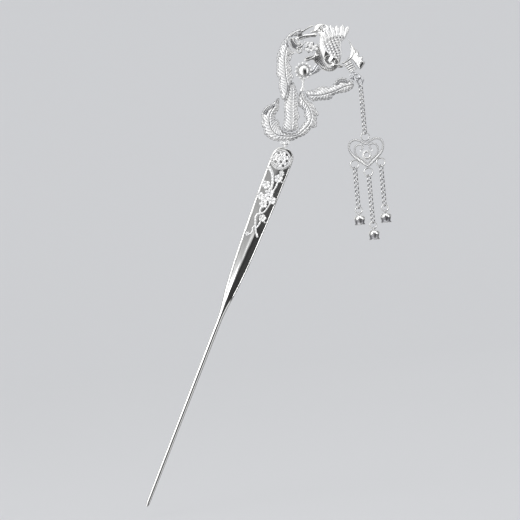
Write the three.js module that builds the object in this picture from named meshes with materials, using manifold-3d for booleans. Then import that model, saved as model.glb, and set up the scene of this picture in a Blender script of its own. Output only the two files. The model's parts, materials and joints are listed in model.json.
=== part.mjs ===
// A silver hair stick with a phoenix ornament and a hanging tassel.
// Millimetres. +Z is up, +X is to the right seen from the front, and the front faces -Y.
// The origin is on the pin's axis, at the middle of the stretch that the hair holds.
import * as THREE from 'three';
import { mergeVertices } from 'three/addons/utils/BufferGeometryUtils.js';
import Module from 'manifold-3d';

const wasm = await Module();
wasm.setup();

// ---- Driving dimensions ----

// Pin
const PIN_LENGTH = 139;
const PIN_LEAN = THREE.MathUtils.degToRad(26.57);
const PIN_OFFSET = 0.9;
const GRIP_DISTANCE = 75;
const BLADE_THICKNESS = 1.6;
const BLADE_END = 56;
const ROD_START = 66;
const ROD_RADIUS = 0.95;
const PIN_SIDES = 16;

// Ornament sheets
const SHEET = 0.7;
const GAP = 0.3;
const FRONT_MIDDLE = -SHEET / 2;
const FRONT_NEAR = FRONT_MIDDLE - SHEET - GAP;
const FRONT_FOREMOST = FRONT_NEAR - SHEET - GAP;
const BODY_DEPTH = 3.4;
const HEAD_DEPTH = 2.8;
const OUTLINE_STEPS = 2;

// Tassel
const TASSEL_X = 28.9;
const LINK_WIRE = 0.38;
const RING_WIRE = 0.4;
const CLEARANCE = 0.13;
const LINK_HALF_WIDTH = 0.61;
const LINK_HALF_DEPTH = 0.45;
const LINK_SIDES = 5;
const LINK_STEPS = 12;
const RUN_OVERLAP = 0.12;
const MAIN_LINKS = 11;
const BEAK_RING = { z: 18.96, radius: 0.62, wire: 0.34 };
const HEART_RING = { z: 0.22, radius: 1.475, wire: 0.45 };
const HEART_WIRE = 0.6;
const SCROLL_WIRE = 0.5;
const ROSETTE = { z: -6.3, inner: 0.8, outer: 1.6, thickness: 0.6 };
const EYE_RADIUS = 1.5;
const END_RING_RADIUS = 1.2;
const STRANDS = [
  { name: 'left', offset: -4.7, eyeZ: -9.35, endZ: -25.85, runs: [3, 3, 3] },
  { name: 'centre', offset: 0, eyeZ: -12.5, endZ: -31.6, runs: [4, 4, 3] },
  { name: 'right', offset: 4.7, eyeZ: -9.35, endZ: -25.85, runs: [3, 3, 3] },
];
const SHANK = { radius: 0.5, wire: 0.35 };
const BELL = { radius: 2, height: 3.5, wall: 0.35, sides: 12 };

// ---- Materials ----

const POLISHED = { color: 0xe9eaec, roughness: 0.16, metalness: 1 };
const SATIN = { color: 0xdcdddd, roughness: 0.42, metalness: 1 };
const OXIDISED = { color: 0xb3b5b8, roughness: 0.35, metalness: 1 };

// ---- Geometry helpers ----

function named(name, geometry, finish) {
  const mesh = new THREE.Mesh(geometry, new THREE.MeshStandardMaterial(finish));
  mesh.name = name;
  return mesh;
}

function toSolid(geometry) {
  const bare = geometry.clone();
  bare.deleteAttribute('normal');
  bare.deleteAttribute('uv');
  const merged = mergeVertices(bare, 1e-4);
  const mesh = new wasm.Mesh({
    numProp: 3,
    vertProperties: Float32Array.from(merged.attributes.position.array),
    triVerts: Uint32Array.from(merged.index.array),
  });
  return new wasm.Manifold(mesh);
}

function toGeometry(solid) {
  const mesh = solid.getMesh();
  const geometry = new THREE.BufferGeometry();
  geometry.setAttribute('position', new THREE.BufferAttribute(mesh.vertProperties, 3));
  geometry.setIndex(new THREE.BufferAttribute(mesh.triVerts, 1));
  return geometry;
}

// One closed body from pieces that run into each other.
function fuse(geometries) {
  const solids = geometries.map(toSolid);
  return toGeometry(solids.reduce((whole, next) => whole.add(next)));
}

function cut(geometry, tools) {
  return toGeometry(tools.map(toSolid).reduce((rest, tool) => rest.subtract(tool), toSolid(geometry)));
}

// A smooth closed curve through [x, z] points, as points of a shape.
function smoothOutline(points) {
  const knots = points.map(([x, z]) => new THREE.Vector3(x, z, 0));
  const curve = new THREE.CatmullRomCurve3(knots, true, 'centripetal');
  const samples = curve.getPoints(points.length * OUTLINE_STEPS).slice(0, -1);
  return samples.map((p) => new THREE.Vector2(p.x, p.y));
}

function circle(x, z, radius, count = 8) {
  return Array.from({ length: count }, (_, i) => {
    const angle = (2 * Math.PI * i) / count;
    return [x + radius * Math.cos(angle), z + radius * Math.sin(angle)];
  });
}

// A prism on an outline in the X-Z plane, from y = front backwards.
function slab(outline, front, thickness) {
  const shape = new THREE.Shape(outline);
  const geometry = new THREE.ExtrudeGeometry(shape, { depth: thickness, bevelEnabled: false });
  geometry.rotateX(Math.PI / 2);
  geometry.translate(0, front + thickness, 0);
  return geometry;
}

// A sheet with a smooth outline and smooth holes.
function sheet(outline, front = FRONT_MIDDLE, thickness = SHEET, holes = []) {
  const plate = slab(smoothOutline(outline), front, thickness);
  const tools = holes.map((hole) => slab(smoothOutline(hole), front - GAP, thickness + 2 * GAP));
  return tools.length ? cut(plate, tools) : plate;
}

// A narrow strip of sheet along a curve through [x, z] points, tapering towards its end.
function strip(points, width, endWidth, front, thickness) {
  const curve = new THREE.SplineCurve(points.map(([x, z]) => new THREE.Vector2(x, z)));
  const count = points.length + 1;
  const left = [];
  const right = [];
  for (let i = 0; i <= count; i += 1) {
    const p = curve.getPoint(i / count);
    const t = curve.getTangent(i / count);
    const half = THREE.MathUtils.lerp(width, endWidth, i / count) / 2;
    left.push(new THREE.Vector2(p.x - t.y * half, p.y + t.x * half));
    right.unshift(new THREE.Vector2(p.x + t.y * half, p.y - t.x * half));
  }
  return slab([...left, ...right], front, thickness);
}

// A wire ring that faces the front.
function ring(radius, wire) {
  const geometry = new THREE.TorusGeometry(radius, wire / 2, 6, 16);
  geometry.rotateX(Math.PI / 2);
  return geometry;
}

// A round open wire through [x, z] points in the plane y = 0.
function wireThrough(points, wire, steps) {
  const knots = points.map(([x, z]) => new THREE.Vector3(x, 0, z));
  const section = new THREE.Shape(
    circle(0, 0, wire / 2, 6).map(([x, y]) => new THREE.Vector2(x, y)),
  );
  const extrudePath = new THREE.CatmullRomCurve3(knots, false, 'centripetal');
  return new THREE.ExtrudeGeometry(section, { steps, extrudePath });
}

// ---- Pin ----

// [distance below the solder joint, half width]
const PIN_PROFILE = [
  [1.2, 1.3], [1.5, 2.1], [2.1, 2.85], [3.1, 3.5], [4.6, 3.85], [8, 3.9], [16, 3.83], [24, 3.68],
  [32, 3.45], [40, 3.17], [46, 2.88], [52, 2.45], [BLADE_END, 2.08], [60, 1.55], [63, 1.2],
  [ROD_START, ROD_RADIUS], [100, 0.8], [130, 0.65], [137.6, 0.55], [138.6, 0.35], [PIN_LENGTH, 0.15],
];

// The blade has a flat back, bevelled edges and a low ridge along the front. The rod is round.
function pinSection(distance, halfWidth, angle) {
  const across = Math.cos(angle);
  const through = Math.sin(angle);
  const roof = -(0.5 + 0.5 * (1 - Math.abs(across)));
  const bladeY = (BLADE_THICKNESS / 2) * (through > 0 ? 1 : roof);
  const edge = Math.abs(through) < 0.01 ? 0 : 1;
  const roundness = THREE.MathUtils.smoothstep(distance, BLADE_END - 4, ROD_START);
  const rodY = Math.min(halfWidth, ROD_RADIUS) * through;
  const y = THREE.MathUtils.lerp(bladeY * edge, rodY, roundness);
  return [halfWidth * across, y];
}

function pinShaft() {
  const stations = PIN_PROFILE.map(([distance]) => new THREE.Vector2(1, distance));
  const top = new THREE.Vector2(0, PIN_PROFILE[0][0]);
  const tip = new THREE.Vector2(0, PIN_LENGTH);
  const geometry = new THREE.LatheGeometry([top, ...stations, tip], PIN_SIDES);
  const position = geometry.attributes.position;
  for (let i = 0; i < position.count; i += 1) {
    const radial = Math.hypot(position.getX(i), position.getZ(i));
    const angle = Math.atan2(position.getZ(i), position.getX(i));
    const distance = position.getY(i);
    const [, halfWidth] = PIN_PROFILE.find(([station]) => station >= distance - 1e-3);
    const [x, y] = pinSection(distance, halfWidth, angle);
    position.setXYZ(i, radial * x, radial * y, -distance);
  }
  return geometry;
}

const RELIEF_FRONT = -BLADE_THICKNESS / 2 - GAP - SHEET;

// Openings of the medallion: [across, distance below the joint, radius]
const MEDALLION_HOLES = [
  [1.1, 3.2, 0.45], [2.3, 3.6, 0.4], [0, 6.3, 0.45], [-1.8, 7.0, 0.45], [1.3, 7.4, 0.4],
  [-1.9, 3.7, 0.4], [1.9, 5.3, 0.45],
];

function medallion() {
  const holes = MEDALLION_HOLES.map(([x, distance, radius]) => circle(x, -distance, radius, 5));
  return sheet(circle(-0.2, -5.4, 3.55, 14), RELIEF_FRONT, SHEET, holes);
}

function blossom(x, distance, radius) {
  const outline = Array.from({ length: 15 }, (_, i) => {
    const angle = (2 * Math.PI * i) / 15;
    const reach = radius * (0.82 + 0.18 * Math.cos(5 * angle));
    return new THREE.Vector2(x + reach * Math.cos(angle), reach * Math.sin(angle) - distance);
  });
  return slab(outline, RELIEF_FRONT, SHEET);
}

// A flowering branch on the blade's front: [across, distance below the joint, radius]
const BLOSSOMS = [
  [1.8, 9.8, 0.8], [-3.1, 10.1, 0.65], [1.5, 12.2, 1.45], [-1.8, 15.9, 1.5], [0.4, 18.1, 1.55],
  [-2.45, 20.3, 1.35], [2.1, 20.4, 1.5], [-0.4, 20.5, 1.6], [-0.2, 22.7, 1.4], [1.3, 27.5, 1.3],
  [-1.9, 34.7, 0.75],
];
const TWIGS = [
  [[-3.0, -9.6], [-1.7, -10.8], [-0.6, -12.5], [0.1, -14.5], [0.4, -17.0]],
  [[0.3, -16.5], [-1.8, -15.9]],
  [[1.8, -9.8], [1.6, -11.5]],
  [[1.7, -13.2], [1.75, -15.0], [1.4, -16.9], [0.8, -18.0]],
  [[-0.5, -23.4], [-0.55, -25.2], [0.1, -26.2]],
  [[2.0, -21.5], [1.5, -23.8], [1.0, -25.3], [0.1, -26.2]],
  [[0.2, -26.0], [-0.9, -26.9], [-1.1, -28.0], [-0.7, -29.5], [-0.1, -31.0], [0.5, -32.4], [2.0, -34.3]],
  [[1.1, -27.8], [0.95, -30.3], [0.3, -32.0]],
  [[-0.2, -30.8], [-0.75, -31.9], [-0.5, -33.0], [-0.7, -34.2], [-1.7, -34.7]],
];

function blossomSprig() {
  const flowers = BLOSSOMS.map(([x, distance, radius]) => blossom(x, distance, radius));
  const twigs = TWIGS.map((path) => strip(path, 0.9, 0.6, RELIEF_FRONT + 0.1, SHEET - 0.1));
  return fuse([...flowers, ...twigs]);
}

function pin() {
  const group = new THREE.Group();
  group.rotation.y = PIN_LEAN;
  group.position.set(PIN_OFFSET * Math.cos(PIN_LEAN), 0, -PIN_OFFSET * Math.sin(PIN_LEAN));
  group.add(named('pin_shaft', pinShaft(), POLISHED));
  group.add(named('blade_medallion', medallion(), SATIN));
  group.add(named('blossom_sprig', blossomSprig(), SATIN));
  return group;
}

// ---- Tail feathers ----

const OUTER_FEATHER = [
  [9.2, 40.7], [6.8, 40.1], [5.2, 39.4], [3.7, 37.9], [1.9, 36.0], [1.1, 34.2], [0.1, 32.2],
  [-0.2, 30.0], [-0.5, 27.0], [-0.8, 25.0], [0, 23.8], [-0.4, 20.8], [0, 18.6], [0, 17.0],
  [0.8, 16.0], [1.9, 15.9], [2.8, 17.6], [3.4, 20.0], [4.4, 22.4], [5.2, 24.1], [4.4, 25.5],
  [4.8, 26.6], [4.5, 28.0], [3.9, 29.2], [5.0, 30.3], [5.1, 31.5], [6.6, 32.7], [5.3, 33.4],
  [4.6, 34.6], [4.3, 36.0], [4.5, 37.4], [5.4, 38.2], [7.4, 38.4], [9.6, 39.2],
];

const CENTRE_FEATHER = [
  [3.6, 22.0], [5.0, 21.8], [5.7, 19.6], [6.1, 18.0], [5.8, 16.0], [6.0, 13.5], [5.6, 12.0],
  [6.1, 9.4], [5.2, 8.2], [5.4, 6.2], [4.4, 4.9], [2.8, 4.4], [0.8, 4.8], [-0.4, 5.8],
  [0.3, 8.2], [0.9, 10.6], [0.8, 13.0], [1.2, 15.3], [2.2, 18.6],
];

const LOOP_FEATHER = [
  [-0.7, 17.0], [-3.0, 15.2], [-5.0, 14.5], [-6.7, 13.0], [-7.6, 11.0], [-7.3, 10.0],
  [-7.8, 8.2], [-7.1, 6.3], [-7.0, 4.5], [-6.0, 3.4], [-4.5, 2.2], [-2.8, 1.6], [0, 1.2],
  [3.0, 1.3], [5.0, 2.1], [7.0, 2.7], [8.6, 3.7], [10.0, 5.1], [11.6, 5.3], [12.1, 7.2],
  [12.2, 9.0], [13.0, 9.7], [12.0, 12.0], [11.1, 13.9], [9.2, 15.4], [8.4, 17.8], [7.0, 18.2],
  [6.3, 16.0], [6.2, 13.4], [7.5, 12.2], [8.0, 10.6], [7.7, 9.6], [8.5, 8.5], [7.4, 7.2],
  [6.0, 5.6], [4.4, 4.2], [2.4, 3.9], [0.4, 4.5], [-0.6, 5.6], [-1.5, 7.2], [-1.4, 8.6],
  [-2.7, 9.8], [-2.4, 11.2], [-1.1, 12.9], [-0.9, 14.6],
];

const SIDE_FEATHER = [
  [9.1, 18.3], [10.6, 18.6], [12.3, 18.8], [13.6, 19.4], [15.8, 19.6], [17.6, 19.1],
  [19.2, 20.0], [20.6, 21.5], [22.2, 22.2], [23.9, 21.7], [25.2, 20.8], [26.2, 20.5],
  [26.5, 19.6], [26.4, 18.6], [25.4, 17.6], [23.2, 16.8], [20.2, 16.6], [18.8, 16.0],
  [17.9, 14.9], [15.2, 14.7], [13.0, 14.8], [11.6, 14.6], [10.2, 15.5], [9.4, 16.6],
];

// ---- Phoenix ----

const BODY = [
  [14.4, 41.5], [16.2, 42.1], [17.8, 41.8], [19.6, 41.0], [21.6, 39.4], [22.9, 37.0],
  [23.1, 34.2], [23.0, 31.2], [22.6, 29.5], [22.2, 28.0], [22.3, 27.0], [23.1, 26.5],
  [23.2, 25.9], [22.2, 25.7], [21.0, 26.0], [20.0, 25.7], [18.6, 25.9], [17.2, 27.0],
  [16.6, 28.2], [16.3, 29.6], [15.8, 31.2], [15.4, 33.0], [15.5, 35.4], [15.9, 37.2],
  [15.4, 38.8], [14.2, 39.2], [12.9, 39.3], [12.7, 39.8], [14.0, 40.0],
];
const BODY_CRESCENT = [
  [17.2, 29.2], [17.8, 30.1], [18.8, 30.2], [18.2, 29.2], [18.0, 28.3], [18.6, 27.6],
  [19.4, 27.4], [18.6, 27.2], [17.6, 27.9],
];
const BODY_HOLES = [BODY_CRESCENT, circle(21.1, 27.8, 0.55, 6), circle(17.8, 40.8, 0.4, 6)];

const NEAR_WING = [
  [20.3, 41.1], [20.9, 40.0], [22.4, 40.8], [22.9, 39.8], [24.5, 40.9], [24.9, 39.7],
  [26.3, 40.1], [26.6, 39.2], [25.7, 37.3], [24.9, 36.0], [23.3, 34.5], [23.2, 31.0],
  [22.8, 29.6], [21.9, 28.8], [20.2, 29.4], [18.4, 31.0], [17.0, 33.0], [16.3, 35.0],
  [16.6, 37.0], [17.6, 38.8], [19.0, 40.2],
];

const FAR_WING = [
  [13.0, 29.3], [13.8, 27.9], [15.4, 26.1], [17.0, 25.2], [18.8, 24.9], [20.2, 25.2],
  [21.8, 26.8], [22.8, 29.4], [23.2, 33.0], [22.2, 36.8], [19.8, 38.8], [17.4, 37.8],
  [15.4, 34.6], [13.8, 31.8],
];

const CREST = [
  [25.9, 35.7], [27.0, 33.5], [28.0, 31.8], [28.2, 30.5], [28.7, 31.7], [29.3, 30.2],
  [29.4, 28.9], [30.6, 29.0], [30.4, 27.5], [31.2, 26.9], [30.6, 25.8], [29.2, 24.5],
  [28.2, 25.8], [27.4, 27.1], [26.5, 28.3], [25.7, 28.1], [24.9, 27.5], [24.0, 27.1],
  [23.1, 27.1], [22.8, 27.5], [23.2, 27.7], [24.0, 27.7], [24.7, 28.2], [25.9, 29.5],
  [26.5, 30.8], [26.8, 32.2], [26.5, 33.8],
];

const HEAD = [
  [25.2, 21.5], [25.1, 22.4], [25.6, 23.2], [26.5, 23.6], [28.2, 23.4], [28.9, 22.7],
  [29.7, 21.7], [30.4, 20.8], [30.1, 19.9], [29.7, 19.0], [29.35, 18.9], [29.3, 19.6],
  [29.5, 20.3], [29.0, 21.0], [28.4, 20.6], [28.3, 19.8], [28.5, 19.2], [28.4, 18.8],
  [28.0, 19.0], [27.3, 19.9], [26.7, 20.8], [26.0, 21.2],
];

const BREAST_CURLS = [
  [9.9, 36.6], [11.0, 35.9], [11.7, 36.0], [12.4, 35.7], [13.0, 36.0], [13.6, 35.3],
  [13.9, 34.6], [14.9, 34.9], [15.0, 33.6], [14.6, 32.5], [14.0, 32.4], [13.3, 32.7],
  [12.8, 31.8], [12.1, 32.4], [11.4, 31.9], [10.6, 32.7], [9.7, 33.2], [10.1, 34.0],
  [10.6, 34.6], [10.4, 35.4],
];

const CLAW = [
  [9.6, 29.5], [9.8, 30.3], [11.0, 30.8], [12.4, 31.0], [13.3, 31.1], [13.6, 32.1],
  [14.2, 32.0], [14.4, 31.2], [15.2, 31.1], [15.3, 30.7], [14.4, 30.2], [13.7, 29.8],
  [13.1, 29.4], [12.2, 29.5], [11.2, 29.2], [10.2, 29.1],
];

const BOW_LEAF = [
  [5.6, 37.9], [4.9, 37.2], [4.8, 36.0], [5.1, 35.0], [5.9, 34.0], [7.0, 33.1], [7.3, 32.4],
  [8.2, 32.1], [9.1, 32.6], [9.2, 33.6], [9.6, 34.8], [10.0, 35.4], [9.1, 35.8], [8.4, 36.8],
  [7.8, 37.7], [6.8, 37.9],
];
const BOW_SLOT = [[6.9, 37.1], [7.6, 36.9], [8.3, 36.0], [7.9, 35.8], [7.2, 36.5]];
const BOW_HOLES = [BOW_SLOT, circle(8.2, 33.0, 0.5, 6)];

const BACK_RIBBON = [
  [7.7, 39.2], [8.4, 40.2], [9.4, 40.5], [10.2, 40.2], [12.0, 41.2], [13.8, 41.7],
  [13.9, 41.3], [12.2, 40.7], [10.4, 39.7], [9.8, 39.0], [11.0, 38.8], [13.2, 38.7],
  [14.3, 38.9], [15.0, 38.2], [14.4, 37.4], [13.2, 37.5], [10.6, 37.3], [9.0, 36.9],
  [7.6, 37.6],
];

// ---- Blossom beside the tail ----

const FLOWER = { x: 9, z: 25.7, petals: 12, radius: 2.85, scallop: 0.4, bead: 1.95, dome: 1.1 };
const FLOWER_STEM = [
  [7.5, 24.0], [8.0, 22.0], [7.9, 20.6], [7.3, 19.4], [7.0, 18.6], [8.8, 18.6], [8.7, 20.4],
  [8.9, 22.0], [9.7, 24.0],
];
const FLOWER_LEAF = [
  [10.6, 23.6], [12.2, 24.2], [14.0, 24.8], [15.4, 26.0], [14.9, 27.0], [14.0, 27.8],
  [12.9, 27.2], [11.8, 25.6],
];

function flowerPetals() {
  const count = FLOWER.petals * 4;
  const outline = Array.from({ length: count }, (_, i) => {
    const angle = (2 * Math.PI * i) / count;
    const reach = FLOWER.radius + FLOWER.scallop * Math.cos(FLOWER.petals * angle);
    return new THREE.Vector2(
      FLOWER.x + reach * Math.cos(angle),
      FLOWER.z + reach * Math.sin(angle),
    );
  });
  return slab(outline, FRONT_NEAR, SHEET);
}

// A polished half bead whose dome faces the front.
function flowerBead() {
  const arc = Array.from({ length: 6 }, (_, i) => {
    const angle = (Math.PI / 2) * (i / 5);
    return new THREE.Vector2(FLOWER.bead * Math.cos(angle), FLOWER.dome * Math.sin(angle));
  });
  arc[arc.length - 1].x = 0;
  const geometry = new THREE.LatheGeometry([new THREE.Vector2(0, 0), ...arc], 16);
  geometry.rotateX(Math.PI);
  geometry.translate(FLOWER.x, FRONT_NEAR - GAP, FLOWER.z);
  return geometry;
}

// ---- Turned pieces of the ornament ----

// The knotted collar that joins the tail to the pin.
function tailCollar() {
  const profile = [
    [0, -0.6], [0.7, -0.6], [1.0, -0.3], [0.75, 0], [1.1, 0.3], [0.7, 0.75], [0, 0.75],
  ];
  const geometry = new THREE.LatheGeometry(profile.map(([r, h]) => new THREE.Vector2(r, h)), 10);
  geometry.rotateX(Math.PI / 2);
  return geometry;
}

const NECK = { x: 25, z: 27.1, lean: -31.5, length: 3.15, radius: 1.53, groove: 1.25, ribs: 6 };

function neckCollar() {
  const profile = [new THREE.Vector2(0, 0)];
  for (let i = 0; i <= 2 * NECK.ribs; i += 1) {
    const radius = i % 2 ? NECK.radius : NECK.groove;
    profile.push(new THREE.Vector2(radius, (NECK.length * i) / (2 * NECK.ribs)));
  }
  profile.push(new THREE.Vector2(0, NECK.length));
  const geometry = new THREE.LatheGeometry(profile, 12);
  geometry.rotateX(-Math.PI / 2);
  return geometry;
}

function ornament() {
  const group = new THREE.Group();
  const nearY = FRONT_NEAR;
  const bodyFront = -BODY_DEPTH / 2;
  const eyes = [circle(25.95, 22.4, 0.35, 6), circle(28.05, 22.2, 0.35, 6)];
  const headSheet = sheet(HEAD, -HEAD_DEPTH / 2, HEAD_DEPTH, eyes);
  const neck = named('neck_collar', neckCollar(), SATIN);
  neck.position.set(NECK.x, 0, NECK.z);
  neck.rotation.y = THREE.MathUtils.degToRad(NECK.lean);
  group.add(
    named('tail_collar', tailCollar(), SATIN),
    named('tail_feather_outer', sheet(OUTER_FEATHER, FRONT_FOREMOST), SATIN),
    named('tail_feather_centre', sheet(CENTRE_FEATHER, nearY), SATIN),
    named('tail_feather_loop', sheet(LOOP_FEATHER), SATIN),
    named('tail_feather_side', sheet(SIDE_FEATHER), SATIN),
    named('body_shell', sheet(BODY, bodyFront, BODY_DEPTH, BODY_HOLES), POLISHED),
    named('near_wing', sheet(NEAR_WING, bodyFront - GAP - SHEET), SATIN),
    named('far_wing', sheet(FAR_WING, -bodyFront + GAP), POLISHED),
    named('crest_plume', sheet(CREST), POLISHED),
    neck,
    named('head', headSheet, OXIDISED),
    named('breast_curls', sheet(BREAST_CURLS, nearY), SATIN),
    named('claw', sheet(CLAW), POLISHED),
    named('bow_leaf', sheet(BOW_LEAF, FRONT_MIDDLE, SHEET, BOW_HOLES), POLISHED),
    named('back_ribbon', sheet(BACK_RIBBON, nearY), POLISHED),
    named('flower_petals', flowerPetals(), SATIN),
    named('flower_bead', flowerBead(), POLISHED),
    named('flower_stem', sheet(FLOWER_STEM), SATIN),
    named('flower_leaf', sheet(FLOWER_LEAF), OXIDISED),
  );
  return group;
}

// ---- Curb chain ----

// One turn of a twisted link. Its two ends slant opposite ways, so that neighbours cross squarely,
// and its upper right and lower left stand to the front.
class CurbLink extends THREE.Curve {
  constructor(reachUp, reachDown) {
    super();
    this.reachUp = reachUp;
    this.reachDown = reachDown;
  }

  getPoint(t, target = new THREE.Vector3()) {
    const angle = 2 * Math.PI * t;
    const reach = Math.sin(angle) > 0 ? this.reachUp : this.reachDown;
    return target.set(
      LINK_HALF_WIDTH * Math.cos(angle),
      -LINK_HALF_DEPTH * Math.sin(2 * angle),
      reach * Math.sin(angle),
    );
  }
}

function link(reachUp, reachDown = reachUp) {
  const curve = new CurbLink(reachUp, reachDown);
  return new THREE.TubeGeometry(curve, LINK_STEPS, LINK_WIRE / 2, LINK_SIDES, true);
}

// A chain of count links between a ring's lowest wire and the next ring's highest wire.
function chainLayout(topWireZ, bottomWireZ, count) {
  const hook = (LINK_WIRE + RING_WIRE) / 2 + CLEARANCE;
  const lap = LINK_WIRE + CLEARANCE;
  const top = topWireZ + hook;
  const reach = (top - bottomWireZ + hook + (count - 1) * lap) / (2 * count);
  const pitch = 2 * reach - lap;
  return { first: top - reach, reach, pitch };
}

function mainChain() {
  const group = new THREE.Group();
  const topWire = BEAK_RING.z - BEAK_RING.radius;
  const bottomWire = HEART_RING.z + HEART_RING.radius;
  const { first, reach, pitch } = chainLayout(topWire, bottomWire, MAIN_LINKS);
  for (let i = 0; i < MAIN_LINKS; i += 1) {
    const name = `main_link_${String(i + 1).padStart(2, '0')}`;
    const mesh = named(name, link(reach), POLISHED);
    mesh.position.z = first - i * pitch;
    group.add(mesh);
  }
  return group;
}

// Links that move as one: they touch inside the run and hang free at its two ends.
function chainRun(count, reach, pitch) {
  const tight = (pitch + LINK_WIRE - RUN_OVERLAP) / 2;
  const links = Array.from({ length: count }, (_, i) => {
    const geometry = link(i === 0 ? reach : tight, i === count - 1 ? reach : tight);
    return geometry.translate(0, 0, -i * pitch);
  });
  return fuse(links);
}

// A small hollow bell, open at its foot, with the wire loop that it hangs by.
function dropBell() {
  const { radius, height, wall, sides } = BELL;
  const outside = [
    [0, 0], [1.1, -0.22], [1.8, -0.9], [radius, -1.6], [1.82, -2.8], [1.95, -height],
  ];
  const inside = [[1.95 - wall, -height], [1.82 - wall, -2.8], [radius - wall, -1.7], [1.1, -0.8]];
  const profile = [...outside, ...inside, [0, -0.22 - wall]].reverse();
  const shell = new THREE.LatheGeometry(profile.map(([r, z]) => new THREE.Vector2(r, z)), sides);
  shell.rotateX(Math.PI / 2);
  const loop = new THREE.TorusGeometry(SHANK.radius, SHANK.wire / 2, 6, 12);
  loop.rotateY(Math.PI / 2);
  loop.translate(0, 0, SHANK.radius);
  return fuse([shell, loop]);
}

function strand({ name, offset, eyeZ, endZ, runs }) {
  const group = new THREE.Group();
  group.position.x = offset;
  const count = runs.reduce((sum, next) => sum + next);
  const layout = chainLayout(eyeZ - EYE_RADIUS, endZ + END_RING_RADIUS, count);
  let z = layout.first;
  runs.forEach((links, i) => {
    const mesh = named(`${name}_chain_${i + 1}`, chainRun(links, layout.reach, layout.pitch), POLISHED);
    mesh.position.z = z;
    group.add(mesh);
    z -= links * layout.pitch;
  });
  const eye = named(`${name}_eye`, ring(EYE_RADIUS, RING_WIRE), POLISHED);
  eye.position.z = eyeZ;
  const endRing = named(`${name}_end_ring`, ring(END_RING_RADIUS, RING_WIRE), POLISHED);
  endRing.position.z = endZ;
  const bell = named(`${name}_bell`, dropBell(), POLISHED);
  const shankTop = endZ - END_RING_RADIUS + (RING_WIRE + SHANK.wire) / 2 + CLEARANCE;
  bell.position.z = shankTop - 2 * SHANK.radius;
  group.add(eye, endRing, bell);
  return group;
}

// ---- Heart pendant ----

// Right half of the heart, as [distance from its middle, z], from the cleft to the foot.
const HEART_HALF = [
  [1.75, -1.35], [3.5, -0.6], [5.0, -0.95], [5.9, -1.85], [6.15, -3.1], [5.9, -4.5],
  [5.2, -5.7], [4.0, -6.95], [2.0, -8.65],
];
const HEART_CLEFT = [0, -2.35];
const HEART_FOOT = [0, -10.2];
// Right half of the scroll, from its curled end to the foot.
const SCROLL_HALF = [
  [2.1, -4.8], [1.4, -3.9], [1.2, -3.0], [2.3, -2.35], [3.7, -2.9], [4.2, -4.3], [3.9, -5.7],
  [2.9, -6.9], [1.5, -7.9],
];
const SCROLL_FOOT = [0, -9.1];

function mirrored(half) {
  return half.map(([x, z]) => [-x, z]);
}

function heartFrame() {
  const points = [HEART_CLEFT, ...HEART_HALF, HEART_FOOT, ...mirrored(HEART_HALF).reverse()];
  const knots = points.map(([x, z]) => new THREE.Vector3(x, 0, z));
  const curve = new THREE.CatmullRomCurve3(knots, true, 'centripetal');
  return new THREE.TubeGeometry(curve, 42, HEART_WIRE / 2, 6, true);
}

function heartScroll() {
  const points = [...mirrored(SCROLL_HALF), SCROLL_FOOT, ...[...SCROLL_HALF].reverse()];
  return wireThrough(points, SCROLL_WIRE, 38);
}

function heartRosette() {
  const { z, inner, outer, thickness } = ROSETTE;
  return sheet(circle(0, z, outer, 10), -thickness / 2, thickness, [circle(0, z, inner, 8)]);
}

function tassel() {
  const group = new THREE.Group();
  group.position.x = TASSEL_X;
  const beakLoop = new THREE.TorusGeometry(BEAK_RING.radius, BEAK_RING.wire / 2, 6, 14);
  beakLoop.rotateY(Math.PI / 2);
  const beakRing = named('beak_ring', beakLoop, POLISHED);
  beakRing.position.z = BEAK_RING.z;
  const heartRing = named('heart_ring', ring(HEART_RING.radius, HEART_RING.wire), POLISHED);
  heartRing.position.z = HEART_RING.z;
  group.add(
    beakRing,
    mainChain(),
    heartRing,
    named('heart_frame', heartFrame(), SATIN),
    named('heart_scroll', heartScroll(), SATIN),
    named('heart_rosette', heartRosette(), POLISHED),
    ...STRANDS.map(strand),
  );
  return group;
}

// ---- Hair pin ----

const joint = new THREE.Group();
joint.position.set(
  GRIP_DISTANCE * Math.sin(PIN_LEAN) - PIN_OFFSET * Math.cos(PIN_LEAN),
  0,
  GRIP_DISTANCE * Math.cos(PIN_LEAN) + PIN_OFFSET * Math.sin(PIN_LEAN),
);
joint.add(pin(), ornament(), tassel());

const hairPin = new THREE.Group();
hairPin.add(joint);

export default hairPin;
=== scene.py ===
import json
import math

import bpy
import numpy as np
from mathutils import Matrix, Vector
from mathutils.geometry import delaunay_2d_cdt


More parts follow.
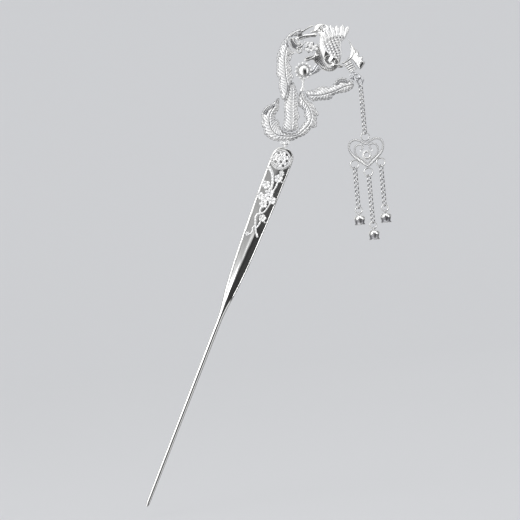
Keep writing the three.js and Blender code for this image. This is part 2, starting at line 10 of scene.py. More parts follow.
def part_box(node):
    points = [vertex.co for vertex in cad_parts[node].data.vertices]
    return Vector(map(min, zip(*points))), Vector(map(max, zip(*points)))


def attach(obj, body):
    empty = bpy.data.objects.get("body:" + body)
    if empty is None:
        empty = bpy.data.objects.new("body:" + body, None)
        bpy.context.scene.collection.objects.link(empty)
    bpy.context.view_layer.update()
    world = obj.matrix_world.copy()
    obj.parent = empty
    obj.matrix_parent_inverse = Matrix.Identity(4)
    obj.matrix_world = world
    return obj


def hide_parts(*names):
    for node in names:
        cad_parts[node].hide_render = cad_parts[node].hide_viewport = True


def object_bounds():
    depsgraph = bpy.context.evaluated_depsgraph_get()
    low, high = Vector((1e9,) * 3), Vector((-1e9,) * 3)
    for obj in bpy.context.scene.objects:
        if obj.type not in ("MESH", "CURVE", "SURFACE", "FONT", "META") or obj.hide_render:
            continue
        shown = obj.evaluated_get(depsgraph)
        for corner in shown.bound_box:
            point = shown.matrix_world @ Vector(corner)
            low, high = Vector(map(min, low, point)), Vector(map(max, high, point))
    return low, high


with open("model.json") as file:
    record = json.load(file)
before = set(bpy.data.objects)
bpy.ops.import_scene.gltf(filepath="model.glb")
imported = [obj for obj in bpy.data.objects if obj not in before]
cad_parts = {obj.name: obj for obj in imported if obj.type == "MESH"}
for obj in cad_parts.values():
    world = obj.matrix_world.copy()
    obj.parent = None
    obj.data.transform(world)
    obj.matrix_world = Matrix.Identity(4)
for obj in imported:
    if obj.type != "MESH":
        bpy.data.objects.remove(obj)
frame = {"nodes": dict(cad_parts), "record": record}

# A silver hair stick with a phoenix ornament and a hanging tassel.
# Shapes are worked out in millimetres. The ornament's plane is X-Z and its front faces -Y.
# Its zero is at the solder joint between the ornament and the pin.

MM = 0.001
CAD_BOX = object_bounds()
BODY_OF = {node: body for body, nodes in frame["record"]["behaviour"]["bodies"].items() for node in nodes}
SLOT_OF = {part["node"]: part["material_slot"] for part in frame["record"]["subparts"]}

# Fineness of the meshes
EDGE_STEP = 0.16
RELIEF_PITCH = 0.155
ROUND_STEPS = 8


def unit(vector):
    vector = np.asarray(vector, float)
    return vector / np.linalg.norm(vector)


def cad_points(node):
    mesh = frame["nodes"][node].data
    points = np.empty(len(mesh.vertices) * 3)
    mesh.vertices.foreach_get("co", points)
    return points.reshape(-1, 3) / MM


def box_of(node):
    low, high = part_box(node)
    return np.array(low) / MM, np.array(high) / MM


def middle_of(node):
    low, high = box_of(node)
    return (low + high) / 2


def around(count):
    """Angles spaced evenly round a circle."""
    return np.linspace(0, 2 * math.pi, count, endpoint=False)


# ---- Where things are ----

COLLAR_DROP = 0.6
collar_low, collar_high = box_of("tail_collar")
JOINT = np.array([(collar_low[0] + collar_high[0]) / 2, 0, collar_low[2] + COLLAR_DROP])
# The frame's origin is on the pin's axis.
PIN_POINTS = cad_points("pin_shaft")
PIN_DOWN = unit(PIN_POINTS[PIN_POINTS[:, 2].argmin()] * [1, 0, 1])
PIN_ACROSS = np.array([-PIN_DOWN[2], 0, PIN_DOWN[0]])
PIN_ZERO = PIN_DOWN * (JOINT @ PIN_DOWN)
TASSEL_X = middle_of("heart_ring")[0] - JOINT[0]


def from_ornament(points):
    return (np.asarray(points) + JOINT) * MM


def from_pin(points):
    """Pin points are across, y, and up along the pin's axis from level with the joint."""
    points = np.asarray(points)
    turned = points[:, :1] * PIN_ACROSS + points[:, 1:2] * [0, 1, 0] - points[:, 2:] * PIN_DOWN
    return (turned + PIN_ZERO) * MM


def to_pin(points):
    points = np.asarray(points) - PIN_ZERO
    return np.column_stack([points @ PIN_ACROSS, points[:, 1], -(points @ PIN_DOWN)])


# ---- Curves ----

def even(points, step, closed=False):
    """The same line with evenly spaced points."""
    points = np.asarray(points, float)
    line = np.vstack([points, points[:1]]) if closed else points
    along = np.concatenate([[0], np.cumsum(np.linalg.norm(np.diff(line, axis=0), axis=1))])
    count = max(int(round(along[-1] / step)), 4)
    marks = np.linspace(0, along[-1], count if closed else count + 1, endpoint=not closed)
    return np.column_stack([np.interp(marks, along, line[:, k]) for k in range(line.shape[1])])


def smooth(points, step, closed=False):
    """A smooth curve through points, as evenly spaced points."""
    points = np.asarray(points, float)
    if closed:
        before, after, beyond = (np.roll(points, n, 0) for n in (1, -1, -2))
        here = points
    else:
        padded = np.vstack([2 * points[0] - points[1], points, 2 * points[-1] - points[-2]])
        before, here, after, beyond = padded[:-3], padded[1:-2], padded[2:-1], padded[3:]
    t = np.linspace(0, 1, ROUND_STEPS, endpoint=False)[:, None, None]
    curve = 0.5 * (2 * here + (after - before) * t
                   + (2 * before - 5 * here + 4 * after - beyond) * t ** 2
                   + (3 * here - before - 3 * after + beyond) * t ** 3)
    dense = curve.transpose(1, 0, 2).reshape(-1, points.shape[1])
    if not closed:
        dense = np.vstack([dense, points[-1]])
    return even(dense, step, closed)


def arc(centre, radius, start, end, step=0.15):
    """Points [x, z] of a round arc, with its angles in degrees."""
    count = max(int(abs(math.radians(end - start)) * radius / step), 6)
    angles = np.radians(np.linspace(start, end, count + 1))
    return np.column_stack([centre[0] + radius * np.cos(angles), centre[1] + radius * np.sin(angles)])


def in_plane(points, y=0.0):
    """Points [x, z] set at depth y."""
    points = np.asarray(points, float)
    return np.column_stack([points[:, 0], np.full(len(points), 1.0) * y, points[:, 1]])


def circle(centre, radius, y=0.0, step=0.15):
    """A closed round line [x, y, z] that faces the front."""
    return in_plane(arc(centre, radius, 0, 360, step)[:-1], y)


def level_circle(centre, radius):
    """A closed round line [x, y, z] that lies level."""
    flat = arc(centre[:2], radius, 0, 360)[:-1]
    return np.column_stack([flat, np.full(len(flat), centre[2])])


# ---- Meshes ----

class Form:
    """A mesh as it is put together: points, faces and how dark each point is, from patina and painted shade.
    """

    def __init__(self):
        self.points = []
        self.faces = []
        self.dark = []
        self.count = 0

    def add(self, points, faces, dark=0.0):
        points = np.asarray(points, float)
        for group in faces if isinstance(faces, (list, tuple)) else [faces]:
            self.faces.extend((np.asarray(group) + self.count).tolist())
        self.points.append(points)
        self.dark.append(np.full(len(points), 1.0) * dark)
        self.count += len(points)
        return self

    def take(self, *others):
        for points, faces, dark in others:
            self.add(points, faces, dark)
        return self


def piece(node, form, place=from_ornament):
    """A finished object that stands for a CAD node and moves with that node's body."""
    name = f"silver_{node}"
    mesh = bpy.data.meshes.new(name)
    mesh.from_pydata(place(np.vstack(form.points)).tolist(), [], form.faces)
    mesh.attributes.new("dark", "FLOAT", "POINT").data.foreach_set("value", np.concatenate(form.dark))
    mesh.polygons.foreach_set("use_smooth", np.ones(len(mesh.polygons), bool))
    mesh.validate()
    mesh.update()
    mesh.materials.append(MATERIALS[SLOT_OF[node]])
    obj = bpy.data.objects.new(name, mesh)
    bpy.context.scene.collection.objects.link(obj)
    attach(obj, BODY_OF[node])
    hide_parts(node)


def quads(rows, sides, closed_rows=False):
    """Faces of a grid of rows, each row a closed ring."""
    i = np.arange(rows if closed_rows else rows - 1)[:, None]
    j = np.arange(sides)[None, :]
    following = (j + 1) % sides
    above = (i + 1) % rows
    return np.stack([i * sides + j, i * sides + following, above * sides + following,
                     above * sides + j], -1).reshape(-1, 4)


def fan(ring, pole, flip=False):
    following = np.roll(ring, -1)
    pair = (following, ring) if flip else (ring, following)
    return np.column_stack([*pair, np.full(len(ring), pole)])


def tube(path, radius, sides=8, closed=False, squash=1.0, dark=0.0):
    """A round wire along a path. Its ends are rounded over. squash flattens it from front to back."""
    path = np.asarray(path, float)
    radius = np.full(len(path), 1.0) * radius
    if closed:
        tangents = np.roll(path, -1, 0) - np.roll(path, 1, 0)
    else:
        tangents = np.gradient(path, axis=0)
    tangents /= np.linalg.norm(tangents, axis=1)[:, None]
    normals = np.empty_like(path)
    seed = np.array([0, -1.0, 0])
    if abs(tangents[0] @ seed) > 0.9:
        seed = np.array([1.0, 0, 0])
    for i, tangent in enumerate(tangents):
        seed = unit(seed - tangent * (seed @ tangent))
        normals[i] = seed
    sideways = np.cross(tangents, normals)
    if closed:
        end = unit(normals[-1] - tangents[0] * (normals[-1] @ tangents[0]))
        turn = math.atan2(end @ sideways[0], end @ normals[0])
        back = -turn * np.arange(len(path)) / len(path)
        cos, sin = np.cos(back)[:, None], np.sin(back)[:, None]
        normals, sideways = normals * cos + sideways * sin, sideways * cos - normals * sin
    angles = around(sides)
    ring = (squash * np.cos(angles)[None, :, None] * normals[:, None]
            + np.sin(angles)[None, :, None] * sideways[:, None])
    points = (path[:, None] + radius[:, None, None] * ring).reshape(-1, 3)
    faces = [quads(len(path), sides, closed)]
    if not closed:
        start = path[0] - tangents[0] * radius[0] * 0.55
        finish = path[-1] + tangents[-1] * radius[-1] * 0.55
        count = len(points)
        points = np.vstack([points, start, finish])
        first = np.arange(sides)
        faces += [fan(first, count, flip=True), fan(first + count - sides, count + 1)]
    return points, faces, dark


def painted_side_shade(made, count, sides, inward=False):
    """The same tube with painted shade on its sides, or on the face turned towards the y = 0 plane."""
    points, faces, _ = made
    rows = points[:count * sides].reshape(count, sides, 3)
    middle = rows.mean(1)[:, None]
    reach = np.linalg.norm(rows - middle, axis=2).max(1)[:, None]
    facing = (rows - middle)[..., 1] / reach
    # Painted shade: dark where the wire's surface turns away from the front and the back.
    shade = 0.95 * fade(1 - np.abs(facing), 0.06, 0.35)
    if inward:
        # Painted shade on the face turned towards the y = 0 plane, inside the twisted link.
        shade = np.maximum(0.6 * shade, 0.95 * fade(-np.sign(middle[..., 1]) * facing, -0.1, 0.5))
    return points, faces, np.concatenate([shade.reshape(-1), np.zeros(len(points) - shade.size)])


def beaded(path, radius, pitch, depth=0.34, sides=8):
    """A milled wire: a string of small beads along a closed path."""
    fine = even(path, pitch / 6, closed=True)
    length = np.linalg.norm(np.roll(fine, -1, 0) - fine, axis=1).sum()
    pitch = length / round(length / pitch)
    along = np.arange(len(fine)) * np.linalg.norm(fine[1] - fine[0])
    swell = np.abs(np.sin(math.pi * along / pitch)) ** 0.6
    size = radius * (1 - depth + depth * swell)
    points, faces, _ = tube(fine, size, sides, closed=True)
    return points, faces, np.repeat(0.75 * (1 - swell) ** 1.5, sides)


def rope(path, radius, pitch=1.0, strands=2, closed=False, sides=7):
    """Wires twisted round a path. radius is the rope's, one value or one for each point."""
    fine = even(path, 0.1, closed)
    size = np.interp(np.linspace(0, 1, len(fine)), np.linspace(0, 1, len(np.atleast_1d(radius))),
                     np.atleast_1d(radius))
    step = np.linalg.norm(fine[1] - fine[0])
    turns = len(fine) * step / pitch
    if closed:
        turns = round(turns)
    tangents = (np.roll(fine, -1, 0) - np.roll(fine, 1, 0)) if closed else np.gradient(fine, axis=0)
    tangents /= np.linalg.norm(tangents, axis=1)[:, None]
    flat = np.ptp(fine[:, 2]) < np.ptp(fine[:, 1])
    front = np.array([0, 0, 1.0] if flat else [0, -1.0, 0])
    sideways = np.cross(tangents, front)
    sideways /= np.linalg.norm(sideways, axis=1)[:, None]
    made = []
    for k in range(strands):
        angle = 2 * math.pi * (np.arange(len(fine)) / len(fine) * turns + k / strands)
        off = np.cos(angle)[:, None] * front + np.sin(angle)[:, None] * sideways
        points, faces, _ = tube(fine + off * (size * 0.46)[:, None], size * 0.56, sides, closed)
        reach = np.linalg.norm(points[:len(fine) * sides].reshape(-1, sides, 3) - fine[:, None], axis=2)
        facing = np.abs(points[:len(fine) * sides, 1].reshape(-1, sides) - fine[:, None, 1]) / size[:, None]
        groove = 1 - fade(reach / size[:, None], 0.4, 0.9)
        # Painted shade on the sides turned away from the front and the back, and darkening where the strands
        # press together.
        shade = np.maximum(groove, fade(1 - facing, 0.06, 0.35)).reshape(-1)
        made.append((points, faces, np.concatenate([shade, np.zeros(len(points) - len(shade))])))
    return made


def lathe(profile, sides):
    """A turned shape about +Z. The profile is [radius, height], up the outside from the axis to the axis."""
    profile = np.asarray(profile, float)
    angles = around(sides)
    rings = profile[1:-1]
    points = np.stack([rings[:, :1] * np.cos(angles), rings[:, :1] * np.sin(angles),
                       rings[:, 1:] * np.ones(sides)], -1).reshape(-1, 3)
    count = len(points)
    points = np.vstack([points, [0, 0, profile[0, 1]], [0, 0, profile[-1, 1]]])
    first = np.arange(sides)
    faces = [quads(len(rings), sides), fan(first, count, flip=True), fan(first + count - sides, count + 1)]
    return points, faces, 0.0


def pointed(made, front, at):
    """A made shape with its +Z turned to the front (-1) or to the back (1), and moved."""
    points, faces, dark = made
    turn = np.array([[front, 0, 0], [0, 0, -1], [0, front, 0.0]])
    return points @ turn + np.asarray(at, float), faces, dark


def grain(at, radius, height):
    """A small round grain of silver that faces the front."""
    rise = np.radians(np.linspace(0, 90, 5))
    profile = [[0, -radius * 0.5], [radius * 0.8, -radius * 0.4]]
    profile += [[radius * math.cos(a), height * math.sin(a)] for a in rise[:-1]] + [[0, height]]
    return pointed(lathe(profile, 10), -1, at)


# ---- Chased sheets ----

def front_loops(node, place=lambda points: points - JOINT, step=EDGE_STEP):
    """The outlines [x, z] of a sheet's front face, smooth and evenly spaced. The outer one is first."""
    mesh = frame["nodes"][node].data
    mesh.calc_loop_triangles()
    corners = np.empty(len(mesh.loop_triangles) * 3, np.int32)
    mesh.loop_triangles.foreach_get("vertices", corners)
    points, same = np.unique(np.round(place(cad_points(node)), 3), axis=0, return_inverse=True)
    triangles = same.reshape(-1)[corners].reshape(-1, 3)
    front = np.abs(points[triangles][:, :, 1] - points[:, 1].min()).max(1) < 0.02
    edges = {(a, b) for t in triangles[front] for a, b in zip(t, np.roll(t, -1))}
    following = {a: b for a, b in edges if (b, a) not in edges}
    loops = []
    while following:
        start, here = following.popitem()
        chain = [start]
        while here != start:
            chain.append(here)
            here = following.pop(here)
        loops.append(smooth(points[chain][:, [0, 2]], step, closed=True))
    return sorted(loops, key=lambda loop: -np.ptp(loop, axis=0).prod())


def edge_gap(points, loops):
    """How far each point is from the nearest edge."""
    starts = np.vstack(loops)
    edges = np.vstack([np.roll(loop, -1, 0) for loop in loops]) - starts
    lengths = np.linalg.norm(edges, axis=1)
    gaps = []
    for part in np.array_split(points, max(len(points) // 1500, 1)):
        offset = part[:, None] - starts[None]
        share = np.clip((offset * edges).sum(2) / (lengths ** 2), 0, 1)
        gaps.append(np.linalg.norm(offset - share[..., None] * edges, axis=2).min(1))
    return np.concatenate(gaps)


def inside(points, loops):
    """True for points inside the outer loop and outside its holes."""
    crossings = np.zeros(len(points), int)
    x, z = points[:, :1], points[:, 1:]
    for loop in loops:
        after = np.roll(loop, -1, 0)
        spans = (loop[:, 1] > z) != (after[:, 1] > z)
        rise = np.where(after[:, 1] == loop[:, 1], 1, after[:, 1] - loop[:, 1])
        at = loop[:, 0] + (z - loop[:, 1]) * (after[:, 0] - loop[:, 0]) / rise
        crossings += (spans & (x < at)).sum(1)
    return crossings % 2 == 1


def inward_of(loop):
    """The direction into the sheet, at each point of its outline."""
    tangents = np.roll(loop, -1, 0) - np.roll(loop, 1, 0)
    return np.column_stack([-tangents[:, 1], tangents[:, 0]]) / np.linalg.norm(tangents, axis=1)[:, None]


def frilled(loop, pitch, depth):
    """A loop with a row of small scallops along it, as of feather tips."""
    length = np.linalg.norm(np.roll(loop, -1, 0) - loop, axis=1).sum()
    fine = even(loop, min(EDGE_STEP, pitch / 6), closed=True)
    along = np.arange(len(fine)) * length / len(fine)
    pitch = length / round(length / pitch)
    wave = np.abs(np.sin(math.pi * along / pitch)) ** 0.7
    return fine - inward_of(fine) * (depth * (wave - 0.75))[:, None]


def relief(loops, skin, pitch=RELIEF_PITCH, edge=0.3, bevel=0.3):
    """A closed chased sheet on its outlines.

    skin(x, z, gap) gives the front's depth, the back's depth and how dark each point is painted, from
    patina in sunken parts and from painted shade, where gap is how far the point is from the nearest edge."""
    chosen = []
    for loop in loops:
        for gap in (0.06 * bevel / 0.3, 0.16 * bevel / 0.3, bevel):
            ring = loop + inward_of(loop) * gap
            chosen.append(ring[(edge_gap(ring, loops) > gap * 0.9) & inside(ring, loops)])
    low, high = loops[0].min(0), loops[0].max(0)
    rows = []
    for i, z in enumerate(np.arange(low[1], high[1], pitch * math.sqrt(3) / 2)):
        x = np.arange(low[0] + (i % 2) * pitch / 2, high[0], pitch)
        rows.append(np.column_stack([x, np.full(len(x), z)]))
    grid = np.vstack(rows)
    grid = grid[inside(grid, loops)]
    grid = grid[edge_gap(grid, loops) > bevel + pitch * 0.5]
    edges = []
    for loop in loops:
        first = len(edges)
        edges += [(first + i, first + (i + 1) % len(loop)) for i in range(len(loop))]
    cloud = np.vstack([*loops, *chosen, grid])
    result = delaunay_2d_cdt([Vector(p) for p in cloud.tolist()], edges, [], 1, 1e-5)
    flat = np.array([tuple(p) for p in result[0]])
    triangles = np.array([face for face in result[2] if len(face) == 3])
    triangles = triangles[inside(flat[triangles].mean(1), loops)]
    used, triangles = np.unique(triangles, return_inverse=True)
    flat, triangles = flat[used], triangles.reshape(-1, 3)
    a, b, c = (flat[triangles[:, k]] for k in range(3))
    area = (b[:, 0] - a[:, 0]) * (c[:, 1] - a[:, 1]) - (b[:, 1] - a[:, 1]) * (c[:, 0] - a[:, 0])
    triangles[area < 0] = triangles[area < 0][:, ::-1]
    gap = edge_gap(flat, loops)
    front, back, dark = skin(flat[:, 0], flat[:, 1], gap)
    middle = (front + back) / 2
    roll = np.sqrt(np.clip(1 - (1 - np.clip(gap / bevel, 0, 1)) ** 2, 0, 1))
    full = edge + (1 - edge) * roll
    front, back = middle + (front - middle) * full, middle + (back - middle) * full
    count = len(flat)
    points = np.vstack([np.column_stack([flat[:, 0], front, flat[:, 1]]),
                        np.column_stack([flat[:, 0], back, flat[:, 1]])])
    pairs = np.vstack([triangles[:, [0, 1]], triangles[:, [1, 2]], triangles[:, [2, 0]]])
    known = set(map(tuple, pairs.tolist()))
    rim = np.array([(p, q) for p, q in known if (q, p) not in known])
    walls = np.column_stack([rim[:, 1], rim[:, 0], rim[:, 0] + count, rim[:, 1] + count])
    faces = [triangles, triangles[:, ::-1] + count, walls]
    shade = np.full(count, 1.0) * dark
    return points, faces, np.concatenate([shade, shade * 0.6])


def ridges(phase, sharp=0.8):
    """Rounded ridges with narrow grooves between them, from 0 to 1."""
    return np.abs(np.sin(math.pi * phase)) ** sharp


def bump(value, width):
    return np.exp(-(value / width) ** 2)


def fade(value, start, end):
    t = np.clip((value - start) / (end - start), 0, 1)
    return t * t * (3 - 2 * t)


class Spine:
    """Coordinates of a plume: distance along its midrib, and signed distance to one side of it."""

    def __init__(self, points):
        self.line = smooth(points, 0.12)
        self.tangents = np.gradient(self.line, axis=0)
        self.tangents /= np.linalg.norm(self.tangents, axis=1)[:, None]

    def __call__(self, x, z):
        flat = np.column_stack([x, z])
        along, side = [], []
        for part in np.array_split(flat, max(len(flat) // 2000, 1)):
            offset = part[:, None] - self.line[None]
            best = (offset ** 2).sum(2).argmin(1)
            gap = part - self.line[best]
            tangent = self.tangents[best]
            along.append(best * 0.12 + (gap * tangent).sum(1))
            side.append(tangent[:, 0] * gap[:, 1] - tangent[:, 1] * gap[:, 0])
        return np.concatenate(along), np.concatenate(side)


def feather_skin(spine, front, back, crown=0.35, pitch=1.1, slant=0.8, rib=0.3, barb=0.17, rib_dark=1.0,
                 dots=False):
    """The chased surface of a plume: a crowned vane, slanted barbs, a split midrib and a raised rim."""

    def skin(x, z, gap):
        s, t = spine(x, z)
        side = np.abs(t)
        share = side / (side + gap + 1e-6)
        phase = (s + slant * side) / pitch
        barbs = ridges(phase, 0.55)
        clear = fade(side, rib * 0.9, rib * 1.8) * fade(gap, 0.25, 0.6)
        fine = ridges(phase * 3, 0.8) * clear
        groove = bump(side, rib * 0.42)
        rails = bump(side - rib, rib * 0.4)
        if dots:
            rails = rails * (0.3 + 0.7 * ridges(s / 0.75, 0.8))
        moat = bump(gap - 0.46, 0.12)
        height = (crown * (1 - share ** 2) - crown + barb * barbs * clear + 0.05 * fine + 0.15 * rails
                  - 0.25 * groove - 0.1 * moat)
        # Darker between the barbs, in the midrib and along the moat, with a painted dark outline along the
        # edge.
        dark = 1.1 * (1 - barbs) ** 1.5 * clear + rib_dark * groove + 0.7 * moat + (1 - fade(gap, 0.1, 0.32))
        if dots:
            dark = dark + 0.6 * bump(side - rib, rib * 0.5) * (1 - ridges(s / 0.75, 0.8)) ** 1.5
        return front - height, back - 0.12 * (1 - share ** 2), np.clip(dark, 0, 1)

    return skin


PLUMES = {
    "tail_feather_outer": [
        (9.4, 39.9), (6.8, 39.1), (5.0, 37.4), (4.1, 35.2), (3.15, 32.9), (2.6, 30.0), (2.45, 27.0),
        (2.45, 24.0), (2.8, 20.2), (1.6, 16.6),
    ],
    "tail_feather_centre": [(4.4, 21.9), (4.3, 18.0), (3.9, 15.0), (3.55, 11.0), (3.2, 7.5), (2.8, 4.9)],
    "tail_feather_loop": [
        (-0.9, 16.6), (-2.8, 13.8), (-4.5, 11.2), (-4.9, 8.4), (-4.2, 5.7), (-2.6, 3.9), (-0.6, 3.2),
        (2.5, 2.8), (5.0, 3.15), (7.3, 4.7), (9.2, 6.4), (10.2, 8.6), (10.2, 11.0), (9.2, 13.4),
        (7.8, 15.6), (7.2, 17.9),
    ],
    "tail_feather_side": [
        (9.2, 17.0), (12.3, 16.6), (14.5, 16.5), (17.0, 16.9), (20.0, 17.6), (23.0, 18.7), (26.3, 19.2),
    ],
}
# Depth of each plume's front at its crown and of its back, and the swell of its vane.
PLUME_DEPTHS = {
    "tail_feather_outer": (-2.35, -1.3, 0.45),
    "tail_feather_centre": (-1.4, -0.3, 0.4),
    "tail_feather_loop": (-0.55, 0.45, 0.45),
    "tail_feather_side": (-0.55, 0.45, 0.45),
}
FRILL_PITCH = 1.4
FRILL_DEPTH = 0.26
# Small round holes: centre and radius
EYELETS = {
    "tail_feather_outer": [((0.75, 31.9), 0.2), ((2.6, 36.1), 0.2), ((4.3, 37.6), 0.17), ((8.0, 39.6), 0.2),
                           ((6.2, 32.6), 0.2), ((4.3, 30.8), 0.2)],
    "tail_feather_loop": [((11.2, 13.0), 0.26), ((-7.25, 8.7), 0.24), ((-1.9, 14.9), 0.2)],
    "tail_feather_side": [((12.7, 18.2), 0.2), ((14.1, 18.8), 0.2)],
}


def slots_along(line, pitch, length, width):
    """A comb of small leaf-shaped openings that stand across a line."""
    made = []
    marks = even(line, pitch)
    directions = np.gradient(marks, axis=0)
    for mark, direction in zip(marks, directions):
        direction = unit(direction)
        across = np.array([-direction[1], direction[0]])
        angles = np.radians(np.arange(0, 360, 30))
        made.append(mark + np.outer(np.cos(angles) * length / 2, across)
                    - np.outer(np.sin(angles) * width / 2, direction))
    return made


# Rows of slots: the row's line, its pitch, and the length and width of a slot
COMBS = {
    "tail_feather_loop": (
        [(-6.15, 12.0), (-5.6, 13.0), (-4.7, 13.75), (-3.7, 14.2), (-2.9, 14.6)], 0.62, 0.85, 0.3),
    "tail_feather_side": (
        [(20.5, 20.3), (21.4, 21.0), (22.5, 21.2), (23.5, 20.9), (24.3, 20.5)], 0.62, 0.7, 0.28),
}


def hole(centre, radius):
    """A small round opening, clockwise."""
    return arc(centre, radius, 0, -360, radius / 2)[:-1]


def rim_wire(loop, inset, depth, radius=0.13, pitch=0.4):
    """A milled wire that follows a closed outline, a little inside it."""
    path = loop + inward_of(loop) * inset
    path = path[edge_gap(path, [loop]) > inset * 0.8]
    return beaded(in_plane(smooth(path[::3], 0.15, closed=True), depth), radius, pitch)


def plume(node):
    loops = front_loops(node)
    plain = loops[0]
    loops[0] = frilled(plain, FRILL_PITCH, FRILL_DEPTH)
    loops += [hole(*eyelet) for eyelet in EYELETS.get(node, [])]
    if node in COMBS:
        line, pitch, length, width = COMBS[node]
        loops += slots_along(smooth(line, 0.2), pitch, length, width)
    front, back, crown = PLUME_DEPTHS[node]
    spine = Spine(PLUMES[node])
    centre = node == "tail_feather_centre"
    skin = feather_skin(spine, front, back, crown, dots=centre, rib_dark=0.6 if centre else 1.0)
    form = Form().take(relief(loops, skin), rim_wire(plain, 0.3, front + crown * 0.9, 0.16, 0.7))
    for eyelet, radius in EYELETS.get(node, []):
        ring = circle(eyelet, radius + 0.1, front + crown * 0.7)
        form.take(tube(ring, 0.11, 6, closed=True))
    piece(node, form)


# ---- Phoenix ----

def line_gap(x, z, lines):
    """Distance from each point to the nearest of some smooth lines."""
    dense = np.vstack([smooth(line, 0.1) if len(line) > 2 else even(line, 0.1) for line in lines])
    flat = np.column_stack([x, z])
    return np.concatenate([
        np.sqrt(((part[:, None] - dense[None]) ** 2).sum(2).min(1))
        for part in np.array_split(flat, max(len(flat) // 2000, 1))
    ])


def dome(gap, reach):
    """Rises from 0 at an edge to 1 at reach from it, as a quarter round."""
    return np.sqrt(np.clip(1 - (1 - np.clip(gap / reach, 0, 1)) ** 2, 0, 1))


BODY_SLITS = [
    [(15.3, 38.7), (15.95, 37.8)], [(17.6, 41.3), (18.1, 40.7)], [(15.2, 39.3), (16.4, 39.15)],
    [(18.8, 39.9), (19.3, 39.2)], [(16.4, 36.9), (16.9, 36.2)], [(17.1, 39.6), (17.5, 38.9)],
]
RUMP = (24.5, 27.5)


def body_shell():
    loops = front_loops("body_shell")

    def skin(x, z, gap):
        swell = dome(gap, 2.6)
        radius = np.hypot(x - RUMP[0], z - RUMP[1])
        scales = ridges(radius / 0.85, 0.7) * ridges(np.arctan2(z - RUMP[1], x - RUMP[0]) * 9, 0.5)
        chased = fade(z, 32.5, 36) * fade(gap, 0.3, 0.9)
        slit = bump(line_gap(x, z, BODY_SLITS), 0.14)
        rail = bump(gap - 0.32, 0.14)
        height = 0.55 + 1.1 * swell + 0.07 * scales * chased - 0.3 * slit + 0.1 * rail
        dark = 0.5 * (1 - scales) ** 2 * chased + slit + 0.35 * bump(gap - 0.62, 0.1)
        return -height, 0.5 + 1.15 * swell, np.clip(dark, 0, 1)

    piece("body_shell", Form().take(relief(loops, skin, edge=0.5)))


WING_ROOT = (22.3, 29.0)
QUILL_FIRST = 70.2
QUILL_PITCH = 9.7
SCALE_ROW = 0.92


def scale_rows(radius, angle, row, pitch):
    """Overlapping scales in rings round a wing's root: their height, and the pierced dots between them."""
    height = np.zeros(len(radius))
    dots = np.zeros(len(radius))
    ring = np.floor(radius / row)
    for back in (0, 1):
        line = ring - back
        count = np.maximum(np.round(2 * math.pi * (line + 0.7) * row / pitch), 3)
        across = angle / (2 * math.pi) * count + 0.5 * (line % 2)
        offset = 2 * (across - np.round(across))
        reach = radius / row - line
        tip = 0.95 + 0.6 * np.sqrt(np.clip(1 - offset ** 2, 0, 1))
        inside_scale = fade(tip - reach, 0.0, 0.14)
        height = np.maximum(height, inside_scale * (0.35 + 0.65 * reach / 1.55) * (1 - 0.25 * offset ** 2))
        aside = (1 - np.abs(offset)) * math.pi * radius / count
        dots = np.maximum(dots, bump(np.hypot(aside, (reach - 1.05) * row), 0.26))
    return height, dots


def near_wing():
    loops = front_loops("near_wing")

    def skin(x, z, gap):
        dx, dz = x - WING_ROOT[0], z - WING_ROOT[1]
        radius, angle = np.hypot(dx, dz), np.arctan2(dz, dx)
        quill = (np.degrees(angle) - QUILL_FIRST) / QUILL_PITCH
        offset = quill - np.round(quill)
        vane = np.clip(1 - (2 * offset) ** 2, 0, 1) ** 0.6
        barbs = ridges((radius - 1.6 * np.abs(offset)) / 0.42, 0.9)
        shaft = bump(offset * radius * math.radians(QUILL_PITCH), 0.11)
        quills = 0.42 * vane + 0.05 * barbs * vane - 0.14 * shaft
        scales, dots = scale_rows(radius, angle, SCALE_ROW, 1.15)
        dots = dots * (0.35 + 0.65 * fade(x, 18.2, 20.2)) * fade(gap, 0.3, 0.7)
        tips = fade(radius, 7.6, 8.3)
        front = -2.12 - 0.2 * dome(gap, 2.2) - tips * quills - (1 - tips) * (0.2 * scales - 0.2 * dots)
        dark = (tips * (1.2 * (1 - vane) ** 2 * fade(radius, 8.4, 9.4) + 0.3 * shaft)
                + (1 - tips) * (0.08 * (1 - fade(scales, 0.1, 0.5)) + 2.2 * dots))
        return front, -1.15, np.clip(dark, 0, 1)

    form = Form().take(relief(loops, skin, pitch=0.13))
    piece("near_wing", form)


def far_wing():
    loops = front_loops("far_wing")

    def skin(x, z, gap):
        angle = np.arctan2(z - 34, x - 21.5)
        barbs = ridges(angle * 14, 0.8) * fade(gap, 0.4, 0.7)
        return 1.8 + 0.25 * fade(gap, 0.2, 1.2) - 0.1 * barbs, 2.5 + 0.12 * barbs, (
            0.85 * fade(gap, 0.4, 0.9) * (1 - 0.6 * barbs))

    form = Form().take(relief(loops, skin, pitch=0.2), rim_wire(loops[0], 0.15, 1.85, 0.15))
    piece("far_wing", form)


CREST_LINE = [(29.3, 25.0), (28.7, 27.0), (27.9, 29.4), (27.3, 31.6), (26.4, 34.4), (26.0, 35.6)]


